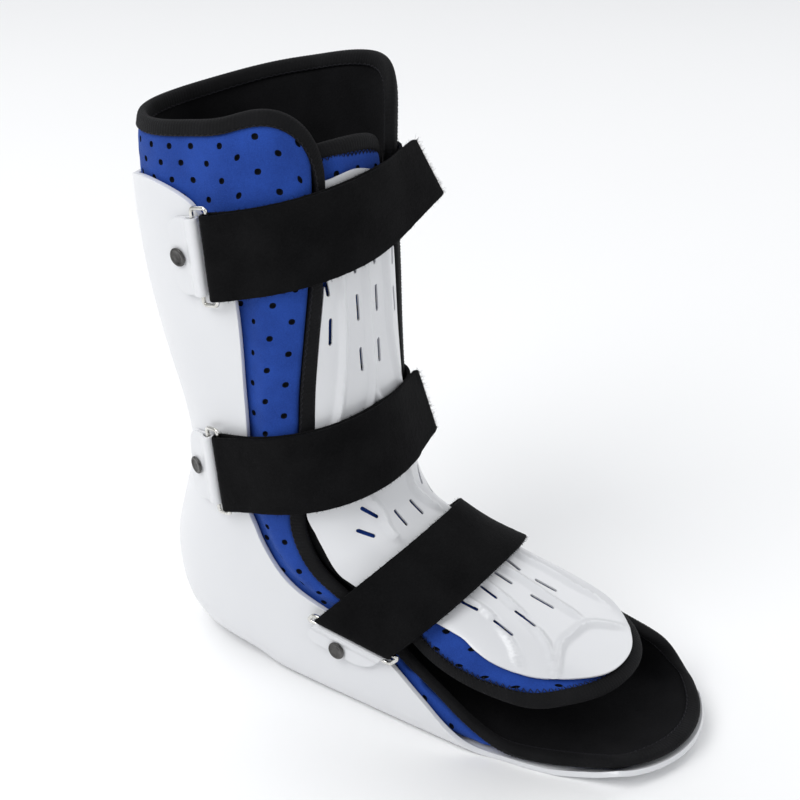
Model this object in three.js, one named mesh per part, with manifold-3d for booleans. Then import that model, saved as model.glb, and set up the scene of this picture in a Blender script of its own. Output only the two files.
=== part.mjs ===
import * as THREE from 'three';
import Module from 'manifold-3d';

const wasm = await Module();
wasm.setup();

// Driving sizes in millimetres, for a large adult left foot
const bootLength = 320;
const bootHeight = 345;
const bootWidth = 118;
const plateThickness = 3;
const padThickness = 6;
const layerGap = 1.3;
const tongueGap = 0.5;
const pieceGap = 0.3;
const seamGap = 1.6;
const bindingWidth = 8.5;
const bindingSwell = 0.25;
const flapLift = 5.2;
const tongueThickness = 6;
const tuckedThickness = 2.8;
const shieldThickness = 2.2;
const ribHeight = 1.3;
const ribWidth = 7;
const slotWidth = 2.2;
const strapWidth = 46;
const lowerStrapWidth = 41;
const strapThickness = 2;
const wireRadius = 1.15;
const ringMargin = 3.3;
const ringDepth = 9;
const ringCorner = 2.4;
const tabMargin = 2;
const tabThickness = 1.4;
const tabReach = 18;
const headRadius = 5.7;
const farHeadRadius = 5;
const shankRadius = 2;
const holeRadius = 2.35;
const tailLength = 27;

// Levels above the lining's inner face
const baseHeight = plateThickness + layerGap + padThickness;
const shellLevel = padThickness + layerGap;
const shellTop = shellLevel + plateThickness;
const tongueTop = tongueGap + tongueThickness;
const shieldLevel = tongueTop + 1.5;
const shieldTop = shieldLevel + shieldThickness;
const strapLevel = 12.8;
const coverLevel = strapLevel + strapThickness + 0.4;
const barLevel = 14.8;
const tabLevel = shellTop + pieceGap + tabThickness / 2;
const tabWrap = wireRadius + 1.5 * pieceGap + tabThickness / 2;
const strapWrap = wireRadius + pieceGap + strapThickness / 2 + 0.15;

// Sections from the toe to the top of the leg
// Lengths are shares of bootLength (Y), bootHeight (Z) and bootWidth (half, centre)
// backY, backZ, frontY, frontZ, half, backSquareness, frontSquareness, centre, bow, twist
const sectionTable = [
  [-0.487, 0.046, -0.494, 0.084, 0.415, 3.4, 2.8, 0.102, 1, 5],
  [-0.422, 0.032, -0.438, 0.096, 0.432, 4.5, 3, 0.102, 0.62, 4],
  [-0.322, 0.019, -0.369, 0.11, 0.441, 6, 3.2, 0.093, 0.28, 3],
  [-0.194, 0.014, -0.281, 0.139, 0.436, 6.5, 3.5, 0.085, 0.06, 1],
  [-0.069, 0.014, -0.194, 0.168, 0.415, 6.5, 3.7, 0.076, 0, 0],
  [0.063, 0.014, -0.131, 0.191, 0.39, 6, 3.7, 0.068, 0, 0],
  [0.188, 0.014, -0.069, 0.217, 0.364, 5.5, 3.7, 0.059, 0, 0],
  [0.313, 0.014, -0.019, 0.243, 0.343, 4.5, 3.7, 0.042, 0, 3],
  [0.434, 0.02, 0.019, 0.267, 0.331, 3, 3.6, 0.034, 0, 3],
  [0.487, 0.078, 0.044, 0.287, 0.331, 2.4, 3.5, 0.025, 0, 4],
  [0.484, 0.162, 0.066, 0.31, 0.339, 2.3, 3.3, 0.025, 0, 5],
  [0.456, 0.255, 0.084, 0.342, 0.347, 2.2, 3.1, 0.017, 0, 6],
  [0.422, 0.348, 0.1, 0.394, 0.356, 2.2, 2.9, 0.008, 0, 6],
  [0.428, 0.449, 0.116, 0.47, 0.369, 2.2, 2.8, 0, 0, 6],
  [0.463, 0.565, 0.125, 0.574, 0.394, 2.2, 2.7, 0, 0, 6],
  [0.491, 0.681, 0.131, 0.687, 0.415, 2.2, 2.7, 0, 0, 6],
  [0.503, 0.812, 0.141, 0.814, 0.441, 2.2, 2.6, 0.008, 0, 6],
  [0.5, 1.014, 0.15, 1.014, 0.475, 2.2, 2.6, 0.017, 0, 6],
];
const units = [bootLength, bootHeight, bootLength, bootHeight, bootWidth, 1, 1, bootWidth, 1, 1];
const sections = sectionTable.map((row) => row.map((value, column) => value * units[column]));
const lastStation = sections.length - 1;

// How far each layer reaches round the half girth, from the back or the sole (0) to the front (1)
// station, near side, far side
const shellReach = [
  [0, 0.385, 0.385],
  [1, 0.385, 0.43],
  [2, 0.385, 0.51],
  [3, 0.36, 0.54],
  [3.6, 0.385, 0.55],
  [4.3, 0.455, 0.56],
  [5.15, 0.535, 0.575],
  [6.2, 0.6, 0.6],
  [7.4, 0.624, 0.624],
  [9.05, 0.612, 0.612],
  [10.65, 0.565, 0.565],
  [11.5, 0.53, 0.53],
  [12.5, 0.56, 0.56],
  [14, 0.62, 0.62],
  [15, 0.64, 0.64],
  [15.8, 0.625, 0.625],
  [16.15, 0.585, 0.585],
  [17, 0.56, 0.56],
];
const linerReach = [
  [0, 0.405, 0.43],
  [0.5, 0.4, 0.5],
  [1, 0.4, 0.56],
  [1.8, 0.4, 0.605],
  [2.6, 0.415, 0.605],
  [3.4, 0.455, 0.605],
  [4.15, 0.515, 0.605],
  [4.75, 0.562, 0.61],
  [5.3, 0.603, 0.62],
  [5.9, 0.64, 0.64],
  [6.5, 0.69, 0.69],
  [7.5, 0.725, 0.725],
  [9.2, 0.733, 0.733],
  [11.4, 0.722, 0.722],
  [13.3, 0.774, 0.774],
  [14.5, 0.816, 0.8],
  [15.5, 0.85, 0.81],
  [16.4, 0.875, 0.82],
  [17, 0.86, 0.81],
];
const tongueReach = [
  [1.8, 0.66, 0.7],
  [2.6, 0.63, 0.67],
  [3.2, 0.612, 0.655],
  [4, 0.598, 0.655],
  [4.7, 0.61, 0.66],
  [5.5, 0.64, 0.665],
  [6.2, 0.675, 0.675],
  [7.4, 0.7, 0.7],
  [9, 0.69, 0.69],
  [11.4, 0.66, 0.66],
  [12.5, 0.675, 0.675],
  [14, 0.705, 0.705],
  [15, 0.715, 0.715],
  [17, 0.72, 0.72],
];
const shieldReach = [
  [2.1, 0.76, 0.74],
  [2.9, 0.715, 0.7],
  [3.7, 0.698, 0.7],
  [4.2, 0.713, 0.715],
  [4.75, 0.74, 0.74],
  [5.75, 0.757, 0.757],
  [7.8, 0.77, 0.77],
  [9.2, 0.779, 0.779],
  [10.4, 0.765, 0.765],
  [11.4, 0.742, 0.742],
  [13.3, 0.791, 0.791],
  [14.5, 0.832, 0.818],
  [15.5, 0.865, 0.828],
  [17, 0.885, 0.84],
];
// Top and toe edges as stations along the way round, from the near edge (-1) to the far edge (1)
const shellRim = [
  [-1, 15.95],
  [-0.9, 16.15],
  [-0.6, 16.2],
  [-0.2, 16],
  [0.2, 16],
  [0.6, 16.2],
  [0.9, 16.15],
  [1, 15.95],
];
const linerRim = [
  [-1, 16.4],
  [-0.96, 16.64],
  [-0.85, 16.85],
  [-0.6, 16.7],
  [-0.3, 16.55],
  [0.1, 16.5],
  [0.4, 16.65],
  [0.7, 16.85],
  [0.9, 16.75],
  [0.97, 16.5],
  [1, 16.25],
];
const tongueToe = [
  [-1, 2.6],
  [-0.8, 2.24],
  [-0.5, 1.97],
  [0, 1.88],
  [0.5, 1.97],
  [0.8, 2.24],
  [1, 2.6],
];
const tongueRim = [
  [-1, 16.05],
  [-0.5, 16.4],
  [0, 16.5],
  [0.6, 16.5],
  [1, 16.4],
];
const shieldToe = [
  [-1, 2.95],
  [-0.8, 2.55],
  [-0.5, 2.24],
  [0, 2.14],
  [0.5, 2.24],
  [0.8, 2.55],
  [1, 2.95],
];
const shieldRim = [
  [-1, 16.15],
  [0, 16.3],
  [1, 16.3],
];
const tuckStation = 5.7;

// Ribs on the shield: points as station and share of the half girth from the middle line
const ribTable = [
  [[15.9, 0.085], [15, 0.09], [14.2, 0.09], [13.3, 0.1], [12.4, 0.13]],
  [[15.9, -0.085], [15, -0.09], [14.2, -0.09], [13.3, -0.1], [12.4, -0.13]],
  [[14.6, 0], [13.6, 0], [12.9, 0.05], [12.2, 0.06]],
  [[13.6, 0], [12.9, -0.05], [12.2, -0.06]],
  [[11.4, 0.1], [10.4, 0.075], [9.2, 0.08], [8.2, 0.085]],
  [[11.4, -0.1], [10.4, -0.075], [9.2, -0.08], [8.2, -0.085]],
  [[5.9, 0.105], [5, 0.125], [4.1, 0.135], [3.3, 0.15]],
  [[5.9, -0.045], [5, -0.065], [4.1, -0.075], [3.3, -0.09]],
  [[5.7, 0.205], [4.8, 0.2], [3.9, 0.22]],
  [[5.7, -0.145], [4.8, -0.15], [3.9, -0.17]],
  [[4.3, 0.03], [3.5, 0.06], [2.95, 0.13], [2.75, 0.2]],
  [[4.3, 0.03], [3.5, 0], [3, -0.07], [2.75, -0.16]],
];
// Slots through the shield: station and share at both ends
const slotTable = [
  [15.42, 0.14, 15.12, 0.133],
  [15.42, -0.14, 15.12, -0.133],
  [14.78, 0.133, 14.45, 0.14],
  [14.78, -0.133, 14.45, -0.14],
  [15.6, 0.042, 15.3, 0.042],
  [15.6, -0.042, 15.3, -0.042],
  [14.97, 0.042, 14.65, 0.042],
  [14.97, -0.042, 14.65, -0.042],
  [14.2, 0.042, 13.88, 0.042],
  [14.2, -0.042, 13.88, -0.042],
  [11, 0.15, 10.2, 0.115],
  [11, -0.15, 10.2, -0.115],
  [9.95, 0.155, 9.25, 0.13],
  [9.95, -0.155, 9.25, -0.13],
  [9.8, 0.035, 8.8, 0.035],
  [9.8, -0.035, 8.8, -0.035],
  [5.45, 0.165, 5, 0.165],
  [5.45, -0.1, 5, -0.1],
  [4.45, 0.175, 3.95, 0.19],
  [4.45, -0.11, 3.95, -0.125],
  [5.35, 0.078, 4.9, 0.083],
  [5.35, -0.015, 4.9, -0.02],
  [4.25, 0.09, 3.75, 0.1],
  [4.25, -0.028, 3.75, -0.038],
];

// Straps: height and depth of the mid line at the ring, slope, ring bar share, rivet distances, free end
const straps = {
  upper: {
    ringY: 0.298, ringZ: 0.76, slope: 14, bar: 0.395, stations: [14, 16.8],
    rivet: 12.5, farShare: -0.56, coverShare: -0.115, tail: tailLength, raise: 0.3,
    width: strapWidth,
  },
  middle: {
    ringY: 0.3, ringZ: 0.384, slope: 14, bar: 0.52, stations: [10.4, 15],
    rivet: 12.5, farShare: -0.56, coverShare: -0.115, tail: tailLength, raise: 0.3,
    width: strapWidth,
  },
  lower: {
    ringY: 0.045, ringZ: 0.149, slope: 48, bar: 0.385, stations: [3.4, 10],
    rivet: 13, farShare: -0.54, coverShare: -0.36, tail: 0, raise: 0.9,
    width: lowerStrapWidth,
  },
};

const white = { color: 0xf2f3f5, roughness: 0.3, metalness: 0 };
const blue = { color: 0x2450a8, roughness: 0.8, metalness: 0 };
const black = { color: 0x111214, roughness: 0.9, metalness: 0 };
const nickel = { color: 0xc8c9c6, roughness: 0.25, metalness: 1 };
const gunmetal = { color: 0x3d3e40, roughness: 0.35, metalness: 1 };

const clampTo = (value, low, high) => Math.min(Math.max(value, low), high);
const ease = (value) => {
  const t = clampTo(value, 0, 1);
  return t * t * (3 - 2 * t);
};
const mix = (a, b, t) => a + (b - a) * t;

// Smooth curve through a table's rows, read at a given first column
function follow(table, column, at) {
  const last = table.length - 1;
  const x = clampTo(at, table[0][0], table[last][0]);
  let i = 0;
  while (i < last - 1 && table[i + 1][0] < x) i += 1;
  const slope = (k) => {
    const a = table[Math.max(k - 1, 0)];
    const b = table[Math.min(k + 1, last)];
    return (b[column] - a[column]) / (b[0] - a[0]);
  };
  const width = table[i + 1][0] - table[i][0];
  const t = (x - table[i][0]) / width;
  const p = table[i][column];
  const q = table[i + 1][column];
  const bend = t * (1 - t);
  return mix(p, q, t * t * (3 - 2 * t)) + width * bend * ((1 - t) * slope(i) - t * slope(i + 1));
}
const reachOf = (table, station, far) => follow(table, far ? 2 : 1, station);

function sectionAt(station) {
  const x = clampTo(station, 0, lastStation);
  const i = Math.min(Math.floor(x), lastStation - 1);
  const t = x - i;
  const row = (k) => sections[clampTo(k, 0, lastStation)];
  return sections[0].map((_, column) => {
    const [a, b, c, d] = [row(i - 1)[column], row(i)[column], row(i + 1)[column], row(i + 2)[column]];
    const square = (2 * a - 5 * b + 4 * c - d) * t * t;
    const cube = (3 * b - a - 3 * c + d) * t * t * t;
    return 0.5 * (2 * b + (c - a) * t + square + cube);
  });
}

// One closed cross-section as points with their distance along the half girth
const sectionSteps = 72;
const sectionCache = new Map();
function outline(station) {
  const key = station.toFixed(5);
  if (sectionCache.has(key)) return sectionCache.get(key);
  const [backY, backZ, frontY, frontZ, half, backSquare, frontSquare, centre, bow, twist] = sectionAt(station);
  const points = [];
  const run = [0];
  for (let i = 0; i <= sectionSteps; i += 1) {
    const angle = (Math.PI * i) / sectionSteps;
    const power = 2 / (angle < Math.PI / 2 ? backSquare : frontSquare);
    const along = -Math.sign(Math.cos(angle)) * Math.abs(Math.cos(angle)) ** power;
    const across = Math.abs(Math.sin(angle)) ** power;
    const y = (backY + frontY) / 2 + ((frontY - backY) / 2) * along;
    const z = (backZ + frontZ) / 2 + ((frontZ - backZ) / 2) * along;
    points.push([across, y, z]);
    if (i > 0) {
      const before = points[i - 1];
      run.push(run[i - 1] + Math.hypot(half * (across - before[0]), y - before[1], z - before[2]));
    }
  }
  const made = { points, run, half, centre, bow, turn: THREE.MathUtils.degToRad(twist), middle: (backY + frontY) / 2 };
  sectionCache.set(key, made);
  return made;
}
const girth = (station) => outline(station).run[sectionSteps];

// Point on the foot form: share -1..1 runs from the front, past the near side, the back and the far side
function formPoint(station, share) {
  const v = share > 1 ? share - 2 : share < -1 ? share + 2 : share;
  const s = outline(station);
  const length = Math.abs(v) * s.run[sectionSteps];
  let i = 1;
  while (i < sectionSteps && s.run[i] < length) i += 1;
  const t = (length - s.run[i - 1]) / (s.run[i] - s.run[i - 1]);
  const [across, y, z] = s.points[i].map((value, k) => mix(s.points[i - 1][k], value, t));
  const x = Math.sign(v) * across;
  const sag = 1 - Math.sqrt(1 - (0.95 * x) ** 2);
  const localX = x * s.half;
  const localY = y + s.bow * s.half * sag - s.middle;
  const turnedX = localX * Math.cos(s.turn) + localY * Math.sin(s.turn);
  const turnedY = localY * Math.cos(s.turn) - localX * Math.sin(s.turn);
  return new THREE.Vector3(s.centre + turnedX, s.middle + turnedY, z);
}

// Point a given level above the foot form, never below the layer's own floor
function layerPoint(station, share, level) {
  const stepU = 0.07;
  const stepV = 0.008;
  const low = Math.max(station - stepU, 0);
  const high = Math.min(station + stepU, lastStation);
  const along = formPoint(high, share).sub(formPoint(low, share));
  const round = formPoint(station, share + stepV).sub(formPoint(station, share - stepV));
  const normal = along.cross(round).normalize();
  const point = formPoint(station, share).addScaledVector(normal, level);
  point.z = Math.max(point.z, baseHeight - level);
  return point;
}
function pitchAt(station, share) {
  const low = Math.max(station - 0.1, 0);
  const high = Math.min(station + 0.1, lastStation);
  return formPoint(high, share).distanceTo(formPoint(low, share)) / (high - low);
}

// Rows shared by the shell and the liner: even stations, then two rows up to each piece's own rim
const ladderRows = 32;
const firstRung = 0.9;
const lastRung = 15.7;
function rung(up, toe, rim) {
  const row = up * ladderRows;
  if (row < 1) return mix(toe, firstRung, row);
  const last = ladderRows - 2;
  if (row <= last) return mix(firstRung, lastRung, (row - 1) / (last - 1));
  return mix(lastRung, rim, (row - last) / 2);
}

// How far the liner's flaps stand off over the tongue's tucked edges
function liftAt(station, share) {
  const far = share > 0;
  const start = reachOf(shellReach, Math.min(station, 15), far) + 0.012;
  return flapLift * ease((Math.abs(share) - start) / 0.05) * ease((station - tuckStation) / 0.6);
}

// Columns shared by the shell and the liner: gathered round the sole's corner in the foot, even in the leg
const cornerColumns = 6;
function columnShare(station, round, reach) {
  const s = outline(station);
  const corner = s.run[sectionSteps / 4] / s.run[sectionSteps];
  const spread = 7 / s.run[sectionSteps];
  const stops = [0, (corner - spread) / 2, corner - spread, corner, corner + spread];
  stops.push((corner + spread + reach) / 2, reach);
  const fitted = stops.map((stop, k) => Math.min(stop, reach - 0.004 * (cornerColumns - k)));
  const k = Math.min(Math.floor(round * cornerColumns), cornerColumns - 1);
  const foot = mix(fitted[k], fitted[k + 1], round * cornerColumns - k);
  return mix(foot, round * reach, ease((station - 7) / 2));
}

// Columns of the liner: even over the shell, one on the flap's step, the rest on the flap
function linerShare(station, round, inset, far) {
  const reach = reachOf(linerReach, station, far) - inset / girth(station);
  const flap = ease((station - tuckStation + 0.7) / 0.7);
  const shellEdge = reachOf(shellReach, Math.min(station, 15), far) + 0.012;
  const start = Math.min(shellEdge, reach - mix(0.008, 0.03, flap));
  const stepEnd = Math.min(start + 0.05, reach - mix(0.004, 0.012, flap));
  const marks = [6 / 9, 7 / 9];
  if (round <= marks[0]) return columnShare(station, round / marks[0], start);
  if (round <= marks[1]) return mix(start, stepEnd, (round - marks[0]) / (marks[1] - marks[0]));
  return mix(stepEnd, reach, (round - marks[1]) / (1 - marks[1]));
}

function linerPoint(up, round, inset, level) {
  const far = round > 0;
  const rim = follow(linerRim, 1, round);
  const shareAt = (station) => Math.sign(round) * linerShare(station, Math.abs(round), inset, far);
  const top = rim - inset / pitchAt(rim, shareAt(rim));
  const toe = inset / pitchAt(0.2, shareAt(0));
  const station = rung(up, toe, top);
  const share = shareAt(station);
  return layerPoint(station, share, level + liftAt(station, share));
}

function tonguePoint(up, round, inset, top) {
  const far = round < 0;
  const shareAt = (station) => -1 + round * (1 - reachOf(tongueReach, station, far) - inset / girth(station));
  const toe = follow(tongueToe, 1, round);
  const rim = follow(tongueRim, 1, round);
  const low = toe + inset / pitchAt(toe, shareAt(toe));
  const high = rim - inset / pitchAt(rim, shareAt(rim));
  const station = mix(low, high, up);
  const share = shareAt(station);
  const reach = 1 - Math.abs(share + 1);
  const clear = reachOf(linerReach, station, far) + 0.012;
  const tucked = ease((station - tuckStation) / 0.6) * (1 - ease((reach - clear) / 0.035));
  const full = mix(tongueThickness, tuckedThickness, tucked);
  return layerPoint(station, share, tongueGap + (top > 0 ? full : 0) + top * bindingSwell * (inset ? 0 : 1));
}

function shieldPoint(up, round, side) {
  const station = mix(follow(shieldToe, 1, round), follow(shieldRim, 1, round), up);
  const share = -1 + round * (1 - reachOf(shieldReach, station, round < 0));
  return layerPoint(station, share, side ? shieldTop : shieldLevel);
}

function shellPoint(up, round, side) {
  const station = rung(up, 0, follow(shellRim, 1, round));
  const reach = reachOf(shellReach, station, round > 0);
  const share = Math.sign(round) * columnShare(station, Math.abs(round), reach);
  return layerPoint(station, share, side ? shellTop : shellLevel);
}

// Closed wall between an inner and an outer grid
function wall(rows, columns, point) {
  const positions = [];
  const index = [];
  const at = (side, i, j) => (side * (rows + 1) + i) * (columns + 1) + j;
  const quad = (a, b, c, d) => index.push(a, b, c, a, c, d);
  for (let side = 0; side < 2; side += 1) {
    for (let i = 0; i <= rows; i += 1) {
      for (let j = 0; j <= columns; j += 1) {
        positions.push(...point(i / rows, -1 + (2 * j) / columns, side).toArray());
      }
    }
  }
  for (let i = 0; i < rows; i += 1) {
    for (let j = 0; j < columns; j += 1) {
      quad(at(1, i, j), at(1, i, j + 1), at(1, i + 1, j + 1), at(1, i + 1, j));
      quad(at(0, i, j), at(0, i + 1, j), at(0, i + 1, j + 1), at(0, i, j + 1));
    }
    quad(at(0, i, 0), at(1, i, 0), at(1, i + 1, 0), at(0, i + 1, 0));
    quad(at(0, i, columns), at(0, i + 1, columns), at(1, i + 1, columns), at(1, i, columns));
  }
  for (let j = 0; j < columns; j += 1) {
    quad(at(0, 0, j), at(0, 0, j + 1), at(1, 0, j + 1), at(1, 0, j));
    quad(at(0, rows, j), at(1, rows, j), at(1, rows, j + 1), at(0, rows, j + 1));
  }
  return { positions, index };
}

// Bar through a row of sections with the same number of points, closed into a ring or capped
function bar(profiles, ring) {
  const size = profiles[0].length;
  const positions = profiles.flat().flatMap((p) => p.toArray());
  const index = [];
  const count = profiles.length;
  for (let i = 0; i < (ring ? count : count - 1); i += 1) {
    for (let j = 0; j < size; j += 1) {
      const a = i * size + j;
      const b = i * size + ((j + 1) % size);
      const c = ((i + 1) % count) * size + ((j + 1) % size);
      const d = ((i + 1) % count) * size + j;
      index.push(a, b, c, a, c, d);
    }
  }
  if (!ring) {
    for (let j = 1; j < size - 1; j += 1) {
      const end = (count - 1) * size;
      index.push(0, j + 1, j, end, end + j, end + j + 1);
    }
  }
  return { positions, index };
}

// Edging round a piece: outline walk with its own outer edge and an inner edge one width in
function edging(rows, columns, point) {
  const walk = [];
  for (let i = 0; i < rows; i += 1) walk.push([i / rows, -1]);
  for (let j = 0; j < columns; j += 1) walk.push([1, -1 + (2 * j) / columns]);
  for (let i = rows; i > 0; i -= 1) walk.push([i / rows, 1]);
  for (let j = columns; j > 0; j -= 1) walk.push([0, -1 + (2 * j) / columns]);
  const profiles = walk.map(([up, round]) => [
    point(up, round, 0, 0),
    point(up, round, 0, 1),
    point(up, round, bindingWidth, 1),
    point(up, round, bindingWidth, 0),
  ]);
  return bar(profiles, true);
}

function toManifold({ positions, index }) {
  const flipped = volumeOf(positions, index) < 0;
  const triVerts = new Uint32Array(index);
  if (flipped) {
    for (let i = 0; i < triVerts.length; i += 3) [triVerts[i], triVerts[i + 1]] = [triVerts[i + 1], triVerts[i]];
  }
  const vertProperties = new Float32Array(positions);
  return new wasm.Manifold(new wasm.Mesh({ numProp: 3, vertProperties, triVerts }));
}
function fromManifold(body) {
  const mesh = body.getMesh();
  const positions = [];
  for (let i = 0; i < mesh.vertProperties.length / mesh.numProp; i += 1) {
    for (let k = 0; k < 3; k += 1) positions.push(mesh.vertProperties[i * mesh.numProp + k]);
  }
  return { positions, index: Array.from(mesh.triVerts) };
}
function volumeOf(positions, index) {
  const corner = (k) => new THREE.Vector3().fromArray(positions, 3 * k);
  let sum = 0;
  for (let i = 0; i < index.length; i += 3) {
    sum += corner(index[i]).dot(corner(index[i + 1]).cross(corner(index[i + 2])));
  }
  return sum;
}

// Round body along a normal: profile rows of radius and height
function turned(centre, normal, profile, sides) {
  const across = new THREE.Vector3(0, 0, 1).cross(normal).normalize();
  const up = normal.clone().cross(across);
  const rings = profile.map(([radius, height]) => {
    const points = [];
    for (let k = 0; k < sides; k += 1) {
      const angle = (2 * Math.PI * k) / sides;
      const point = centre.clone().addScaledVector(normal, height);
      point.addScaledVector(across, radius * Math.cos(angle));
      point.addScaledVector(up, radius * Math.sin(angle));
      points.push(point);
    }
    return points;
  });
  return bar(rings, false);
}

// Strap frame: planes across the strap give the station at each share
function strapFrame(spec) {
  const slope = THREE.MathUtils.degToRad(spec.slope);
  const plane = new THREE.Vector3(0, Math.sin(slope), Math.cos(slope));
  const middle = plane.dot(new THREE.Vector3(0, spec.ringY * bootLength, spec.ringZ * bootHeight));
  const cache = new Map();
  const stationAt = (share, offset) => {
    const key = `${share.toFixed(5)},${offset}`;
    if (cache.has(key)) return cache.get(key);
    let [low, high] = spec.stations;
    for (let k = 0; k < 22; k += 1) {
      const guess = (low + high) / 2;
      if (plane.dot(layerPoint(guess, share, strapLevel)) > middle + offset) high = guess;
      else low = guess;
    }
    cache.set(key, (low + high) / 2);
    return (low + high) / 2;
  };
  const girthAt = (offset) => girth(stationAt(-1 + spec.bar, offset));
  const place = (share, run, offset, level) => {
    const at = -1 + share + run / girthAt(offset);
    return layerPoint(stationAt(at, offset), at, level);
  };
  const spot = (share, run, half) => {
    const at = (level) => place(share, run, -half, level).add(place(share, run, half, level)).multiplyScalar(0.5);
    const base = at(shellTop);
    return { base, normal: at(shellTop + 1).sub(base).normalize() };
  };
  return { place, girthAt, spot };
}

// Band in the plane of share and level: centre line steps [share, run, level], walls half a thickness either side
function foldedBand(frame, steps, half, thickness, tail) {
  const profile = (offset) => {
    const scale = frame.girthAt(offset);
    const flat = steps.map(([share, run, level]) => [share * scale + run, level]);
    const sideOf = (sign) => flat.map(([x, level], i) => {
      const a = flat[Math.max(i - 1, 0)];
      const b = flat[Math.min(i + 1, flat.length - 1)];
      const length = Math.hypot(b[0] - a[0], b[1] - a[1]);
      const push = (sign * thickness) / 2 / length;
      const share = (x - push * (b[1] - a[1])) / scale;
      return frame.place(share, 0, offset, level + push * (b[0] - a[0]));
    });
    const left = sideOf(1);
    const right = sideOf(-1);
    if (tail > 0) {
      [left, right].forEach((side) => {
        const end = side[side.length - 1];
        const way = end.clone().sub(side[side.length - 2]).normalize();
        side.push(end.clone().addScaledVector(way, tail / 2), end.clone().addScaledVector(way, tail));
      });
    }
    return { left, right };
  };
  const [a, b] = [profile(-half), profile(half)];
  return bar(a.left.map((_, i) => [a.left[i], b.left[i], b.right[i], a.right[i]]), false);
}
function foldSteps(share, level, wrap, inner, outer, sign) {
  const arc = [];
  for (let k = 0; k <= 5; k += 1) {
    const angle = THREE.MathUtils.degToRad(-90 + 36 * k);
    arc.push([share, sign * wrap * Math.cos(angle), level + wrap * Math.sin(angle)]);
  }
  return [...inner, ...arc, ...outer];
}

function strapBody(spec, frame) {
  const inner = [];
  const outer = [];
  const innerCount = 20;
  for (let k = 0; k < innerCount; k += 1) {
    const t = k / innerCount;
    const share = mix(spec.farShare, spec.bar - 0.03, t);
    const settle = ease((share - spec.farShare - 0.05) / 0.08);
    inner.push([share, 0, mix(shellTop + 2 * pieceGap + strapThickness / 2, strapLevel + spec.raise, settle)]);
  }
  const outerCount = 13;
  const level = (run) => spec.raise + mix(coverLevel, barLevel + strapWrap, 1 - ease(run / 14));
  for (let k = 1; k <= outerCount; k += 1) {
    const t = k / outerCount;
    const share = mix(spec.bar, spec.coverShare, t);
    outer.push([share, 0, level((spec.bar - share) * 165)]);
  }
  const steps = foldSteps(spec.bar, barLevel + spec.raise, strapWrap, inner, outer, 1);
  return foldedBand(frame, steps, spec.width / 2, strapThickness, spec.tail);
}

function tabBody(spec, frame) {
  const low = tabLevel;
  const high = tabLevel + tabThickness + 0.2;
  const inner = [];
  const outer = [];
  for (let k = 0; k < 4; k += 1) inner.push([spec.bar, ringDepth + mix(tabReach, 2.5, k / 4), low]);
  const level = (run) => mix(high, tabLevel + 2 * tabWrap, 1 - ease((run - 1) / 5.5));
  for (let k = 1; k <= 5; k += 1) {
    const run = mix(1, tabReach, k / 5);
    outer.push([spec.bar, ringDepth + run, level(run)]);
  }
  const steps = foldSteps(spec.bar, tabLevel + tabWrap, tabWrap, inner, outer, -1);
  steps.forEach((step) => {
    if (step[1] > -tabWrap - 0.01 && step[1] < tabWrap + 0.01) step[1] += ringDepth;
  });
  return foldedBand(frame, steps, spec.width / 2 - tabMargin, tabThickness, 0);
}

// Rectangular wire ring through the two bars' centre lines
function ringBody(spec, frame) {
  const line = (run, half, level, extra) => {
    const a = frame.place(spec.bar, run, -half, level);
    const b = frame.place(spec.bar, run, half, level);
    const way = b.clone().sub(a).normalize().multiplyScalar(extra);
    return [a.sub(way), b.add(way)];
  };
  const half = spec.width / 2;
  const [frontLow, frontHigh] = line(0, half, barLevel + spec.raise, ringMargin);
  const [rearLow, rearHigh] = line(ringDepth, half - tabMargin, tabLevel + tabWrap, ringMargin + tabMargin);
  const corners = [frontLow, frontHigh, rearHigh, rearLow];
  const normal = frontHigh.clone().sub(frontLow).cross(rearLow.clone().sub(frontLow)).normalize();
  const path = [];
  corners.forEach((corner, i) => {
    const back = corners[(i + 3) % 4].clone().sub(corner).normalize();
    const on = corners[(i + 1) % 4].clone().sub(corner).normalize();
    const start = corner.clone().addScaledVector(back, ringCorner);
    const end = corner.clone().addScaledVector(on, ringCorner);
    for (let k = 0; k <= 2; k += 1) {
      const t = k / 2;
      const point = start.clone().multiplyScalar((1 - t) ** 2);
      point.addScaledVector(corner, 2 * t * (1 - t)).addScaledVector(end, t * t);
      path.push(point);
    }
  });
  const profiles = path.map((point, i) => {
    const way = path[(i + 1) % path.length].clone().sub(path[(i + path.length - 1) % path.length]).normalize();
    const out = normal.clone().cross(way).normalize();
    const ring = [];
    for (let k = 0; k < 6; k += 1) {
      const angle = (Math.PI * k) / 3;
      const spot = point.clone().addScaledVector(out, wireRadius * Math.cos(angle));
      ring.push(spot.addScaledVector(normal, wireRadius * Math.sin(angle)));
    }
    return ring;
  });
  return bar(profiles, true);
}

const group = new THREE.Group();
function addPiece(name, { positions, index }, look) {
  const order = index.slice();
  if (volumeOf(positions, index) < 0) {
    for (let i = 0; i < order.length; i += 3) [order[i], order[i + 1]] = [order[i + 1], order[i]];
  }
  const geometry = new THREE.BufferGeometry();
  geometry.setAttribute('position', new THREE.Float32BufferAttribute(positions, 3));
  geometry.setIndex(order);
  geometry.computeVertexNormals();
  const mesh = new THREE.Mesh(geometry, new THREE.MeshStandardMaterial(look));
  mesh.name = name;
  group.add(mesh);
}

let shell = toManifold(wall(ladderRows, 12, shellPoint));

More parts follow.
